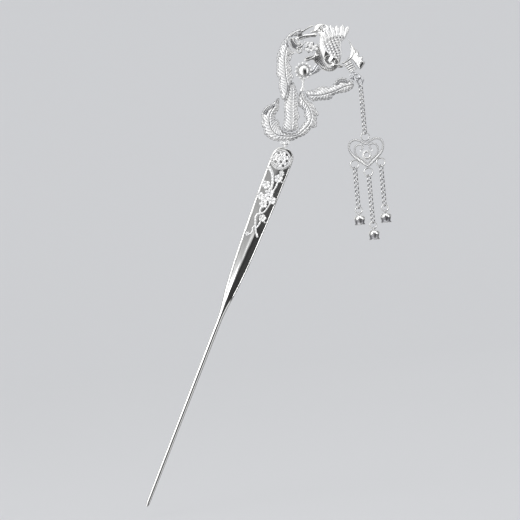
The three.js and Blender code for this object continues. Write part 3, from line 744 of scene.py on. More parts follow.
def crest_plume():
    spine = Spine(CREST_LINE)

    def skin(x, z, gap):
        s, t = spine(x, z)
        strand = (t + 0.035 * s * t) / 0.62
        locks = ridges(strand + 0.5, 0.7)
        clear = fade(gap, 0.15, 0.5) * fade(s, 0.6, 2.5)
        height = 0.3 * dome(gap, 0.9) + 0.16 * locks * clear
        lean = np.clip(0.2 * (x - 28) - 0.12 * (z - 29), -0.2, 0.6)
        # Darker between the locks, with a painted dark outline along the edge.
        dark = 0.6 * (1 - locks) ** 2 * clear + 0.8 * (1 - fade(gap, 0.02, 0.22))
        return -0.62 - height - lean, 0.35 + height * 0.7, np.clip(dark, 0, 1)

    form = Form().take(relief(front_loops("crest_plume"), skin, pitch=0.14))
    edge = smooth([(25.95, 35.5), (27.0, 33.4), (28.0, 31.8), (28.25, 30.6)], 0.2)
    form.take(tube(in_plane(edge, -0.45), 0.13, 8))
    edge = smooth([(22.9, 27.45), (24.0, 27.4), (24.8, 27.9), (25.9, 28.9), (26.6, 30.4), (26.75, 32.4)], 0.2)
    form.take(tube(in_plane(edge, -0.5), 0.2, 8))
    piece("crest_plume", form)


NECK_START = np.array([25.0, 0, 27.1])
NECK_LEAN = math.radians(31.5)
NECK_LENGTH = 3.15
NECK_RIBS = 4


def neck_collar():
    """A ribbed collar, wider across than through."""
    axis = np.array([math.sin(NECK_LEAN), 0, -math.cos(NECK_LEAN)])
    sides, steps = 56, NECK_RIBS * 10
    share = np.linspace(0, 1, steps + 1)
    rib = ridges(share * NECK_RIBS, 0.55)
    radius = 0.96 + 0.44 * rib - 0.08 * share
    angles = around(sides)
    across = np.cross(axis, [0, 1, 0])
    slant = 0.22 * np.cos(angles)
    points = (NECK_START + axis * (share[:, None, None] * NECK_LENGTH + slant[:, None])
              + radius[:, None, None] * (1.18 * np.cos(angles)[:, None] * across
                                         + 0.9 * np.sin(angles)[:, None] * [0, 1, 0]))
    count = points.shape[0] * points.shape[1]
    end = NECK_START + axis * (NECK_LENGTH + 0.1)
    points = np.vstack([points.reshape(-1, 3), NECK_START - axis * 0.1, end])
    first = np.arange(sides)
    faces = [quads(steps + 1, sides), fan(first, count, flip=True), fan(first + count - sides, count + 1)]
    normal = np.cross(points[1] - points[0], points[sides] - points[0])
    if normal @ (points[0] - NECK_START) < 0:
        faces = [face[:, ::-1] for face in faces]
    shade = np.concatenate([np.repeat(np.clip(1.7 * (1 - rib), 0, 1), sides), [0, 0]])
    form = Form().add(points, faces, shade)
    for place, size in ((-0.03, 1.28), (1.04, 1.2)):
        ring = (NECK_START + axis * NECK_LENGTH * place
                + size * (1.2 * np.cos(angles)[:, None] * across
                          + 0.95 * np.sin(angles)[:, None] * [0, 1, 0])
                + axis * 0.22 * np.cos(angles)[:, None])
        form.take(tube(ring, 0.17, 8, closed=True))
    piece("neck_collar", form)


EYE = (25.95, 22.4)
EAR = (28.05, 22.2)
HEAD_GROOVES = [
    [(26.9, 23.3), (27.0, 22.4), (26.6, 21.7), (26.8, 21.0)], [(27.4, 21.6), (27.9, 21.2), (28.6, 21.3)],
    [(28.0, 20.6), (28.6, 20.9), (29.3, 21.4)], [(25.9, 21.5), (26.4, 21.5), (26.8, 20.9)],
    [(29.3, 20.6), (29.6, 20.0), (29.6, 19.3)], [(27.6, 20.6), (28.1, 19.6), (28.3, 19.2)],
]


def head():
    loops = front_loops("head")

    def skin(x, z, gap):
        swell = dome(gap, 1.3)
        sockets = sum(bump(np.hypot(x - cx, z - cz) - 0.52, 0.14) for cx, cz in (EYE, EAR))
        groove = bump(line_gap(x, z, HEAD_GROOVES), 0.13)
        brow = bump(line_gap(x, z, [[(28.3, 23.3), (29.1, 22.4), (30.1, 20.9)]]), 0.28)
        slim = 0.55 + 0.45 * fade(np.hypot(x - 29.0, z - 18.8), 1.0, 2.6)
        height = (0.4 + 0.8 * swell + 0.2 * sockets - 0.3 * groove + 0.15 * brow) * slim
        dark = 0.9 * groove + 0.15 - 0.15 * brow
        return -height, (0.4 + 0.7 * swell) * slim, np.clip(dark, 0, 1)

    piece("head", Form().take(relief(loops, skin, pitch=0.11, edge=0.5)))


CURLS = [
    (10.6, 34.7, 0.8), (11.4, 33.1, 0.85), (12.3, 34.4, 0.85), (12.7, 35.4, 0.6), (13.4, 33.5, 0.85),
    (14.2, 34.3, 0.65), (14.4, 33.0, 0.6), (11.5, 35.5, 0.6), (12.4, 32.5, 0.65), (10.5, 33.3, 0.6),
    (10.5, 36.1, 0.5),
]


def curl_skin(curls, front, back):
    """Small scrolls, each a spiral ridge on a low boss."""

    def skin(x, z, gap):
        height = np.zeros(len(x))
        dark = np.ones(len(x))
        for turn, (cx, cz, size) in enumerate(curls):
            radius = np.hypot(x - cx, z - cz)
            angle = np.arctan2(z - cz, x - cx) * (1 if turn % 2 else -1)
            boss = np.sqrt(np.clip(1 - (radius / size) ** 2, 0, 1))
            spiral = ridges(angle / (2 * math.pi) + radius / (size * 0.55), 0.7)
            level = boss * (0.35 + 0.22 * spiral)
            dark = np.where(level > height, 0.8 * (1 - spiral) ** 2 + 0.4 * (1 - fade(boss, 0, 0.5)), dark)
            height = np.maximum(height, level)
        return front + 0.35 - height, back, np.clip(dark, 0, 0.9)

    return skin


def lined_skin(lines, front, back, width=0.3, rise=0.32, ground_shade=0.5):
    """A polished ribbon: rounded ridges along lines, with a painted dark reflection on the dished ground
    between them.
    """

    def skin(x, z, gap):
        ridge = np.sqrt(np.clip(1 - (line_gap(x, z, lines) / width) ** 2, 0, 1))
        rail = dome(np.clip(gap, 0, 0.25), 0.25) * (1 - fade(gap, 0.2, 0.45))
        height = rise * np.maximum(ridge, 0.7 * rail)
        # Painted dark reflection on the ground between the ridges and rails.
        return front + rise - height, back, ground_shade * (1 - np.clip(ridge + rail, 0, 1))

    return skin


BOW_LINES = [
    [(5.15, 36.0), (5.4, 35.0), (6.0, 34.1), (7.0, 33.4)],
    [(6.1, 37.6), (6.7, 36.4), (7.5, 35.5), (8.3, 35.3)],
    [(7.7, 37.5), (8.6, 36.2), (9.7, 35.4)], [(7.6, 34.2), (8.7, 34.5), (9.4, 35.0)],
]
RIBBON_LINES = [
    [(8.1, 39.0), (9.6, 39.9), (11.2, 40.6), (13.7, 41.5)], [(8.0, 38.3), (9.1, 39.0), (10.0, 39.4)],
    [(8.2, 37.6), (10.4, 38.1), (12.6, 38.1), (14.3, 38.2)],
]
CLAW_LINES = [
    [(9.9, 29.5), (11.0, 29.5), (12.4, 29.9), (13.4, 30.3)], [(9.9, 30.0), (11.4, 30.5), (13.2, 30.8)],
    [(13.5, 30.6), (13.9, 31.2), (14.0, 31.9)], [(13.4, 30.4), (14.3, 30.6), (15.0, 30.9)],
]
STEM_LINES = [[(8.7, 24.2), (8.35, 22.2), (8.2, 20.4), (7.8, 18.8)]]


def ribbons():
    sheets = {
        "breast_curls": (curl_skin(CURLS, -1.6, -0.2), 0.11),
        "bow_leaf": (lined_skin(BOW_LINES, -0.75, 0.35, 0.36, 0.4, 0.75), 0.12),
        "back_ribbon": (lined_skin(RIBBON_LINES, -1.5, -0.6, 0.42, 0.35, 0.5), 0.13),
        "claw": (lined_skin(CLAW_LINES, -0.7, 0.35, 0.34, 0.35, 0.6), 0.12),
        "flower_stem": (lined_skin(STEM_LINES, -0.7, 0.35, 0.6, 0.4, 0.3), 0.14),
    }
    for node, (skin, pitch) in sheets.items():
        form = Form().take(relief(front_loops(node), skin, pitch))
        if node == "bow_leaf":
            form.take(tube(circle((8.15, 33.05), 0.72, -0.55), 0.17, 8, closed=True))
        piece(node, form)


# ---- Blossom beside the tail ----

PETALS = 12
BEAD_RADIUS = 1.93
BEAD_RISE = 1.1
LEAF_RIB = [(11.0, 24.2), (12.6, 25.4), (14.0, 27.2)]


def flower():
    centre = middle_of("flower_bead") - JOINT
    x0, z0 = centre[0], centre[2]

    def petal_skin(x, z, gap):
        radius = np.hypot(x - x0, z - z0)
        angle = np.arctan2(z - z0, x - x0)
        lobe = np.abs(np.cos(angle * PETALS / 2)) ** 0.7
        rise = dome(gap, 0.5) * lobe
        return -0.95 - 0.4 * rise, -0.55, 0.9 * (1 - lobe) ** 1.5 * fade(radius, 1.9, 2.3)

    form = Form().take(relief(front_loops("flower_petals"), petal_skin, 0.13))
    for i in range(PETALS):
        angle = 2 * math.pi * i / PETALS
        form.take(grain((x0 + 2.75 * math.cos(angle), -1.25, z0 + 2.75 * math.sin(angle)), 0.52, 0.4))
    form.take(*rope(circle((x0, z0), 2.12, -1.4), 0.2, 0.7, closed=True))
    piece("flower_petals", form)

    rise = np.radians(np.linspace(0, 90, 14))
    profile = [[0, 0.0], [BEAD_RADIUS, 0.0]]
    profile += [[BEAD_RADIUS * math.cos(a), BEAD_RISE * math.sin(a)] for a in rise[1:-1]] + [[0, BEAD_RISE]]
    bead = pointed(lathe(profile, 56), -1, (x0, -1.65, z0))
    piece("flower_bead", Form().take(bead))

    spine = Spine(LEAF_RIB)

    def leaf_skin(x, z, gap):
        s, t = spine(x, z)
        side = np.abs(t)
        veins = ridges((s - 0.8 * side) / 0.75) * fade(side, 0.1, 0.3)
        rib = bump(side, 0.12)
        return -0.4 - 0.3 * dome(gap, 1.0) - 0.1 * veins + 0.15 * rib, 0.35, (
            0.6 * rib + 0.4 * (1 - veins) ** 2)

    piece("flower_leaf", Form().take(relief(front_loops("flower_leaf"), leaf_skin, 0.14)))


def tail_collar():
    """A turned knot with two small scrolls, where the tail meets the pin."""
    profile = [[0, -0.9], [0.55, -0.9], [0.8, -0.6], [0.6, -0.32], [0.95, -0.05], [0.95, 0.25], [0.6, 0.5],
               [0.75, 0.75], [0.55, 1.1], [0, 1.15]]
    smooth_profile = smooth(profile, 0.07)
    smooth_profile[0, 0] = smooth_profile[-1, 0] = 0
    form = Form().take(lathe(np.clip(smooth_profile, [0, -9], [9, 9]), 32))
    form.take(*rope(level_circle((0, 0, 0.1), 0.95), 0.17, 0.6, closed=True))
    for side in (-1, 1):
        turns = np.radians(np.linspace(-60, 400, 40))
        size = np.linspace(0.75, 0.16, 40)
        scroll = np.column_stack([side * (0.95 + size * np.cos(turns)), np.full(40, -0.25),
                                  0.75 + size * np.sin(turns)])
        form.take(tube(scroll, np.linspace(0.2, 0.13, 40), 8))
    piece("tail_collar", form)


# ---- Silver ----

def silver(name, colour, roughness, patina_and_shade_tone, grain_scale, grain_strength, scratch_strength, metallic):
    """Silver with fine grain, faint scratches, bright worn edges, patina in sunken parts and painted shade."""
    material = bpy.data.materials.new(name)
    material.use_nodes = True
    nodes = material.node_tree.nodes
    links = material.node_tree.links
    shader = nodes["Principled BSDF"]
    shader.inputs["Metallic"].default_value = metallic

    def node(kind, **values):
        made = nodes.new(kind)
        for key, value in values.items():
            setattr(made, key, value)
        return made

    place = node("ShaderNodeTexCoord")

    def noise(scale, detail):
        made = node("ShaderNodeTexNoise")
        made.inputs["Scale"].default_value = scale
        made.inputs["Detail"].default_value = detail
        links.new(place.outputs["Object"], made.inputs["Vector"])
        return made.outputs["Fac"]

    def spread(value, low, high, to_low, to_high):
        made = node("ShaderNodeMapRange")
        for index, number in enumerate((low, high, to_low, to_high), 1):
            made.inputs[index].default_value = number
        links.new(value, made.inputs[0])
        return made.outputs[0]

    def math_node(operation, first, second):
        made = node("ShaderNodeMath", operation=operation, use_clamp=operation != "MULTIPLY")
        for socket, value in zip(made.inputs, (first, second)):
            if isinstance(value, (int, float)):
                socket.default_value = value
            else:
                links.new(value, socket)
        return made.outputs[0]

    cloud = noise(260, 4)
    # The dark attribute: patina in sunken parts and painted shade on outlines, wire sides and bell bodies.
    patina_and_shade = node("ShaderNodeAttribute", attribute_name="dark").outputs["Fac"]
    edges = node("ShaderNodeNewGeometry").outputs["Pointiness"]
    worn = spread(edges, 0.5, 0.6, 0.0, 1.0)
    patchy = spread(cloud, 0.35, 0.7, 0.75, 1.15)
    dark = math_node("MULTIPLY", patina_and_shade, patchy)
    dark = math_node("SUBTRACT", dark, math_node("MULTIPLY", worn, 0.25))

    tone = node("ShaderNodeMix", data_type="RGBA")
    tone.inputs["A"].default_value = (*colour, 1)
    tone.inputs["B"].default_value = (*patina_and_shade_tone, 1)
    links.new(dark, tone.inputs["Factor"])
    veil = node("ShaderNodeMix", data_type="RGBA", blend_type="MULTIPLY")
    veil.inputs["B"].default_value = (0.93, 0.94, 0.97, 1)
    links.new(spread(cloud, 0.4, 0.75, 0.0, 0.6), veil.inputs["Factor"])
    links.new(tone.outputs["Result"], veil.inputs["A"])
    links.new(veil.outputs["Result"], shader.inputs["Base Color"])

    gloss = spread(noise(900, 3), 0.3, 0.7, roughness * 0.8, roughness * 1.25)
    gloss = math_node("ADD", gloss, math_node("MULTIPLY", patina_and_shade, 0.3))
    links.new(gloss, shader.inputs["Roughness"])

    scratches = node("ShaderNodeTexNoise")
    scratches.inputs["Scale"].default_value = 1
    scratches.inputs["Detail"].default_value = 3
    stretch = node("ShaderNodeMapping")
    stretch.inputs["Rotation"].default_value = (0, 0.45, 0)
    stretch.inputs["Scale"].default_value = (9000, 9000, 260)
    links.new(place.outputs["Object"], stretch.inputs["Vector"])
    links.new(stretch.outputs["Vector"], scratches.inputs["Vector"])
    scored = node("ShaderNodeBump")
    scored.inputs["Strength"].default_value = scratch_strength
    scored.inputs["Distance"].default_value = 0.00002
    links.new(scratches.outputs["Fac"], scored.inputs["Height"])
    pitted = node("ShaderNodeBump")
    pitted.inputs["Strength"].default_value = grain_strength
    pitted.inputs["Distance"].default_value = 0.00004
    links.new(noise(grain_scale, 2), pitted.inputs["Height"])
    links.new(scored.outputs["Normal"], pitted.inputs["Normal"])
    links.new(pitted.outputs["Normal"], shader.inputs["Normal"])
    return material


# Colour, roughness, dark tone of patina and painted shade, scale and strength of the grain, strength of the
# scratches, metallic
FINISHES = {
    "polished_silver": ((0.95, 0.95, 0.94), 0.12, (0.16, 0.16, 0.18), 1200, 0.06, 0.12, 1.0),
    "satin_silver": ((0.96, 0.96, 0.955), 0.38, (0.08, 0.08, 0.09), 4200, 0.45, 0.1, 0.8),
    "oxidised_silver": ((0.84, 0.85, 0.87), 0.26, (0.04, 0.04, 0.05), 3000, 0.3, 0.1, 0.85),
}
MATERIALS = {name: silver(name, *finish) for name, finish in FINISHES.items()}


# ---- Pin ----

LEFT_RIM = 0.85
RIGHT_RIM = 0.3


def pin_shaft():
    """A blade with raised rims, a low ridge and a flat back, which draws out to a round rod."""
    local = to_pin(PIN_POINTS)
    distance = np.round(-local[:, 2], 1)
    stations = np.unique(distance)
    width = np.array([np.abs(local[distance == d, 0]).max() for d in stations])
    depth = np.array([local[distance == d, 1].max() for d in stations])
    fine = np.concatenate([np.linspace(stations[0], 4, 16), np.linspace(4.5, 136, 264),
                           np.linspace(136.3, stations[-1], 14)])
    half = np.interp(fine, stations, width)
    soft = np.ones(5) / 5
    half[4:-14] = np.convolve(np.pad(half, 2, "edge"), soft, "valid")[4:-14]
    thick = np.interp(fine, stations, depth)
    blade = 1 - fade(fine, 50, 62)
    count = 96
    angles = around(count)
    across, through = np.cos(angles), -np.sin(angles)
    rows = []
    for d, w, h, flat in zip(fine, half, thick, blade):
        x = np.sign(across) * np.abs(across) ** 0.62 * w
        inset = w - np.abs(x)
        size = min(1, w / 2.2)
        rim = np.where(x < 0, LEFT_RIM, RIGHT_RIM) * size
        crown = fade(inset / rim, 0.0, 0.72) * (1 - 0.8 * fade(inset / rim, 0.8, 1.0))
        crest = np.interp(d, [8, 26, 34, 56, 66], [0.4, 0.1, 0.9, -0.3, -0.3])
        room = np.where(x < crest, crest + w - LEFT_RIM * size, w - RIGHT_RIM * size - crest)
        ridge = np.clip(1 - np.abs(x - crest) / room, 0, 1)
        tall = np.interp(d, [6, 20, 36, 60], [0.2, 0.22, 0.24, 0.28])
        line = 0.1 * fade(d, 31, 35) * np.sqrt(np.clip(1 - ((x - crest) / 0.34) ** 2, 0, 1))
        front = np.where(inset < rim, 0.46 + 0.28 * crown, 0.4 + tall * ridge + line)
        edge = np.sqrt(np.clip(1 - (1 - np.clip(inset / 0.25, 0, 1)) ** 2, 0, 1))
        blade_y = np.where(through > 0, -front * (0.25 + 0.75 * edge), h * (0.3 + 0.7 * edge))
        rows.append(np.column_stack([x * flat + across * w * (1 - flat),
                                     blade_y * flat - through * h * (1 - flat), np.full(count, -d)]))
    rows = rows[::-1]
    points = np.vstack(rows)
    total = len(points)
    tip = [0, 0, rows[0][0, 2] - 0.1]
    top = [0, 0, rows[-1][0, 2] + 0.02]
    points = np.vstack([points, tip, top])
    first = np.arange(count)
    faces = [quads(len(rows), count)[:, ::-1], fan(first, total),
             fan(first + total - count, total + 1, flip=True)]
    piece("pin_shaft", Form().add(points, faces), from_pin)


# ---- Relief on the blade ----

MEDALLION = (-0.2, -5.4)
RELIEF_BACK = -0.45


def medallion():
    """A round openwork rosette inside a doubled rim."""
    loops = front_loops("blade_medallion", to_pin)
    centres = [loop.mean(0) for loop in loops[1:]]

    def skin(x, z, gap):
        dx, dz = x - MEDALLION[0], z - MEDALLION[1]
        radius, angle = np.hypot(dx, dz), np.arctan2(dz, dx)
        rim = bump(radius - 3.25, 0.2)
        collars = np.clip(sum(bump(np.hypot(x - cx, z - cz) - 0.72, 0.2) for cx, cz in centres), 0, 1)
        leaves = ridges(angle * 7 / math.pi + 0.55 * radius, 0.5) * ridges(radius / 1.05, 0.5)
        within = 1 - fade(radius, 2.8, 3.0)
        height = 0.34 * rim + within * (0.24 * leaves + 0.2 * collars)
        dark = within * 0.55 * (1 - leaves) ** 1.5 * (1 - collars) + 0.8 * bump(radius - 2.9, 0.1)
        front = -1.12 - height - 0.2 * (1 - (radius / 3.6) ** 2)
        return front, RELIEF_BACK, np.clip(dark, 0, 1)

    form = Form().take(relief(loops, skin, 0.12))
    form.take(beaded(circle(MEDALLION, 3.25, -1.42), 0.19, 0.6))
    form.take(tube(in_plane(arc(MEDALLION, 3.72, 195, 395), -0.9), 0.17, 8))
    piece("blade_medallion", form, from_pin)


# [across, distance below the joint, radius]
BLOSSOMS = [
    (1.8, 9.8, 0.8), (-3.1, 10.1, 0.65), (1.5, 12.2, 1.45), (-1.8, 15.9, 1.5), (0.4, 18.1, 1.55),
    (-2.45, 20.3, 1.35), (2.1, 20.4, 1.5), (-0.4, 20.5, 1.6), (-0.2, 22.7, 1.4), (1.3, 27.5, 1.3),
    (-1.9, 34.7, 0.75),
]
# Paths [across, up from the joint] and the radius at the start and the end.
TWIGS = [
    ([(-3.0, -9.4), (-1.7, -10.8), (-0.6, -12.5), (0.1, -14.5), (0.4, -17.0)], 0.55, 0.4),
    ([(0.3, -16.5), (-1.8, -15.9)], 0.3, 0.25),
    ([(1.8, -9.8), (1.6, -11.5)], 0.25, 0.25),
    ([(1.7, -13.2), (1.75, -15.0), (1.4, -16.9), (0.8, -18.0)], 0.27, 0.3),
    ([(-0.5, -23.4), (-0.55, -25.2), (0.1, -26.2)], 0.25, 0.3),
    ([(1.9, -21.3), (1.6, -23.4), (1.0, -25.3), (0.1, -26.2)], 0.22, 0.32),
    ([(0.2, -26.0), (-0.9, -26.9), (-1.15, -28.0), (-0.7, -29.5), (-0.1, -31.0), (0.7, -32.6), (1.3, -33.6),
      (2.2, -34.4)], 0.36, 0.24),
    ([(1.1, -28.2), (0.95, -30.3), (0.3, -32.0)], 0.26, 0.26),
    ([(-0.2, -30.8), (-0.75, -31.9), (-0.5, -33.0), (-0.7, -34.2), (-1.7, -34.7)], 0.22, 0.25),
]
# [across, distance below the joint, length, direction in degrees]
LEAVES = [
    (2.5, 10.5, 1.3, 60), (2.9, 12.9, 1.2, 165), (-2.3, 10.6, 1.7, 130), (2.5, 28.6, 1.1, 160),
    (1.7, 34.0, 1.7, 120),
]
BLADE_FIELD = -0.5


def boss(centre, outline, height, base, rings, spokes):
    """A raised shape on the blade, with outline(angle) and height(share of the way out, angle)."""
    angles = around(spokes)
    reach = outline(angles)
    shares = np.linspace(1, 0, rings, endpoint=False)
    rows = [np.column_stack([centre[0] + reach * np.cos(angles), np.full(spokes, base),
                             centre[1] + reach * np.sin(angles)])]
    shades = [np.full(spokes, 0.7)]
    for share in shares:
        top = height(share, angles)
        rows.append(np.column_stack([centre[0] + share * reach * np.cos(angles), base - 0.25 - top,
                                     centre[1] + share * reach * np.sin(angles)]))
        shades.append(np.clip(0.7 - 2.6 * top, 0, 1))
    points = np.vstack([*rows, [centre[0], base - 0.25 - height(0.0, angles).mean(), centre[1]]])
    count = len(rows) * spokes
    faces = [quads(len(rows), spokes), fan(np.arange(spokes) + count - spokes, count)]
    back = len(points)
    points = np.vstack([points, [centre[0], base, centre[1]]])
    faces.append(fan(np.arange(spokes), back, flip=True))
    return points, faces, np.concatenate([*shades, [0.95, 0.5]])


def sprig():
    form = Form()
    for turn, (across, distance, radius) in enumerate(BLOSSOMS):
        start = 0.7 * turn + math.pi / 2
        tall = min(radius, 1.4) / 1.4

        def outline(angle, radius=radius, start=start):
            return radius * (0.7 + 0.36 * np.abs(np.cos(2.5 * (angle - start))) ** 0.5)

        def height(share, angle, start=start, tall=tall):
            petal = np.abs(np.cos(2.5 * (angle - start))) ** 0.45
            cup = 0.35 + 0.3 * bump(share - 0.78, 0.16) + 0.12 * bump(share - 0.3, 0.12)
            rise = (0.2 + 0.8 * petal * fade(share, 0.1, 0.3)) * cup
            return tall * (0.05 + rise * (1 if share < 0.95 else 0.6))

        form.take(boss((across, -distance), outline, height, BLADE_FIELD, 10, 70))
        ring = circle((across, -distance), 0.27 * tall, -1.12, 0.08)
        form.take(tube(ring, 0.11, 6, closed=True))
    for across, distance, length, direction in LEAVES:
        turn = math.radians(direction)

        def leaf(angle, length=length, turn=turn):
            return length / 2 * (0.38 + 0.62 * np.abs(np.cos(angle - turn)) ** 3)

        def vein(share, angle, turn=turn):
            side = 0.5 + 0.5 * np.abs(np.sin(angle - turn)) ** 0.7
            return (0.15 + 0.3 * math.sqrt(1 - share ** 2)) * side

        form.take(boss((across, -distance), leaf, vein, BLADE_FIELD, 7, 40))
    for path, first, last in TWIGS:
        line = smooth(path, 0.15) if len(path) > 2 else even(path, 0.15)
        share = np.linspace(0, 1, len(line))
        radius = first + (last - first) * share + 0.03 * np.sin(share * len(line) * 0.8)
        form.take(tube(in_plane(line, BLADE_FIELD - 0.2), radius, 12))
    piece("blossom_sprig", form, from_pin)


# ---- Tassel ----

WIRE_SIDES = 12
LINK_STEPS = 44
RING_STEPS = 48
LINK_RADIUS = 0.19
RING_RADIUS = 0.2
RING_THICK = 0.24
CLEARANCE = 0.13
LINK_HALF_WIDTH = 0.61
LINK_HALF_DEPTH = 0.45
RUN_OVERLAP = 0.12
LINK_LAP = 2 * LINK_RADIUS + CLEARANCE
HOOK = LINK_RADIUS + RING_RADIUS + CLEARANCE
EYE_RADIUS = 1.5
END_RING_RADIUS = 1.2
RUNS = {"left": (3, 3, 3), "centre": (4, 4, 3), "right": (3, 3, 3)}


def curb_link(centre, reach_up, reach_down):
    """One twisted link of round wire."""
    angle = around(LINK_STEPS)
    reach = np.where(np.sin(angle) > 0, reach_up, reach_down)
    path = np.column_stack([LINK_HALF_WIDTH * np.cos(angle), -LINK_HALF_DEPTH * np.sin(2 * angle),
                            reach * np.sin(angle)])
    wire = tube(path + centre, LINK_RADIUS, WIRE_SIDES, closed=True)
    return painted_side_shade(wire, LINK_STEPS, WIRE_SIDES, inward=True)


def main_chain():
    nodes = sorted(node for node in SLOT_OF if node.startswith("main_link_"))
    centres = [middle_of(node) - JOINT for node in nodes]
    pitch = centres[0][2] - centres[1][2]
    reach = (pitch + LINK_LAP) / 2
    for node, centre in zip(nodes, centres):
        form = Form().take(curb_link(np.array([TASSEL_X, 0, centre[2]]), reach, reach))
        piece(node, form)


def wire_ring(centre, radius, wire, axis="y"):
    angle = around(RING_STEPS)
    flat = {"y": [radius * np.cos(angle), 0 * angle, radius * np.sin(angle)],
            "x": [0 * angle, radius * np.cos(angle), radius * np.sin(angle)]}[axis]
    return painted_side_shade(tube(np.column_stack(flat) + centre, wire, WIRE_SIDES, closed=True), RING_STEPS, WIRE_SIDES)


BELL_PETALS = 4


def bell_shell():
    """A flared bell with a cap of petals. Its zero is at the top, under the wire loop."""
    outside = smooth([(0.02, 0.0), (0.5, -0.03), (1.05, -0.2), (1.55, -0.6), (1.82, -1.15), (1.86, -1.7),
                      (1.7, -2.3), (1.6, -2.75), (1.72, -3.15), (1.93, -3.42)], 0.07)
    lip = [(1.97, -3.49), (1.9, -3.53), (1.75, -3.45)]
    inside_wall = smooth([(1.55, -3.15), (1.42, -2.75), (1.52, -2.2), (1.66, -1.6), (1.35, -0.85), (0.7, -0.5),
                          (0.02, -0.45)], 0.2)
    sides = 72
    angles = around(sides)
    profile = np.vstack([outside, lip, inside_wall])
    folded = angles[None, :] + math.pi / 2
    lobe = np.abs(np.sin(BELL_PETALS / 2 * folded))
    height = profile[:, 1:2]
    outer = (np.arange(len(profile)) < len(outside))[:, None]
    edge = -0.75 - 1.15 * lobe ** 0.6
    petal = fade(height - edge, 0.0, 0.12) * fade(lobe, 0.06, 0.3) * outer
    rim = bump(height - edge - 0.18, 0.1) * petal
    radius = profile[:, :1] + petal * 0.13 * fade(-height, 0.02, 0.4) + 0.04 * rim
    points = np.stack([radius * np.cos(angles), radius * np.sin(angles), height * np.ones(sides)], -1)
    # Painted shade: the outside of the bell below its petals is darkened.
    dark = (outer * (1 - petal) * fade(-height, 0.4, 0.8) * 0.9).reshape(-1)
    points = points.reshape(-1, 3)
    count = len(points)
    points = np.vstack([points, [0, 0, 0.0], [0, 0, profile[-1, 1]]])
    first = np.arange(sides)
    faces = [quads(len(profile), sides)[:, ::-1], fan(first, count),
             fan(first + count - sides, count + 1, flip=True)]
    return points, faces, np.concatenate([dark, [0, 0]])


SHANK_RADIUS = 0.5
SHANK_WIRE = 0.175


def strand(name):
    eye = middle_of(f"{name}_eye") - JOINT
    end = middle_of(f"{name}_end_ring") - JOINT
    runs = RUNS[name]
    count = sum(runs)
    top = eye[2] - EYE_RADIUS + HOOK
    reach = (top - end[2] - END_RING_RADIUS + HOOK + (count - 1) * LINK_LAP) / (2 * count)
    pitch = 2 * reach - LINK_LAP
    tight = (pitch + 2 * LINK_RADIUS - RUN_OVERLAP) / 2
    z = top - reach
    for index, links in enumerate(runs):
        form = Form()
        for i in range(links):
            up = reach if i == 0 else tight
            down = reach if i == links - 1 else tight
            form.take(curb_link(np.array([eye[0], 0, z]), up, down))
            z -= pitch
        node = f"{name}_chain_{index + 1}"
        piece(node, form)
    piece(f"{name}_end_ring", Form().take(wire_ring([end[0], 0, end[2]], END_RING_RADIUS, RING_THICK)))
    _, high = box_of(f"{name}_bell")
    bell_top = high[2] - JOINT[2] - 2 * SHANK_RADIUS - SHANK_WIRE
    shell, faces, dark = bell_shell()
    at = np.array([end[0], 0, bell_top])
    form = Form().add(shell + at, faces, dark)
    form.take(wire_ring(at + [0, 0, SHANK_RADIUS], SHANK_RADIUS, SHANK_WIRE, "x"))
    form.take(*rope(level_circle(at - [0, 0, 0.03], 0.45), 0.11, 0.4, closed=True))
    piece(f"{name}_bell", form)


# Right half of the heart, as (distance from its middle, z), from the cleft to the foot.
HEART_HALF = [
    (1.75, -1.35), (3.5, -0.6), (5.0, -0.95), (5.9, -1.85), (6.15, -3.1), (5.9, -4.5),
    (5.2, -5.7), (4.0, -6.95), (2.0, -8.65),
]
HEART_CLEFT = (0, -2.35)
HEART_FOOT = (0, -10.2)
# Right half of the scroll, from its curled end to the foot.
SCROLL_HALF = [
    (2.1, -4.8), (1.4, -3.9), (1.2, -3.0), (2.3, -2.35), (3.7, -2.9), (4.2, -4.3), (3.9, -5.7),
    (2.9, -6.9), (1.5, -7.9),
]
SCROLL_FOOT = (0, -9.1)
# Turned profiles, as [radius, height]
SCROLL_KNOB = [[0, -0.2], [0.36, -0.1], [0.4, 0.05], [0.3, 0.25], [0, 0.36]]
ROSETTE_GRAIN = [[0, -0.1], [0.2, -0.05], [0.2, 0.05], [0.12, 0.15], [0, 0.19]]
ROSETTE_RADIUS = 1.2
COIL_WIRE = 0.145
COIL_STEPS = 120
BEAK_RING_RADIUS = 0.62
BEAK_RING_WIRE = 0.17


def mirrored(half):
    return [(-x, z) for x, z in half]


def on_tassel(points):
    return in_plane(np.asarray(points, float) + [TASSEL_X, 0])


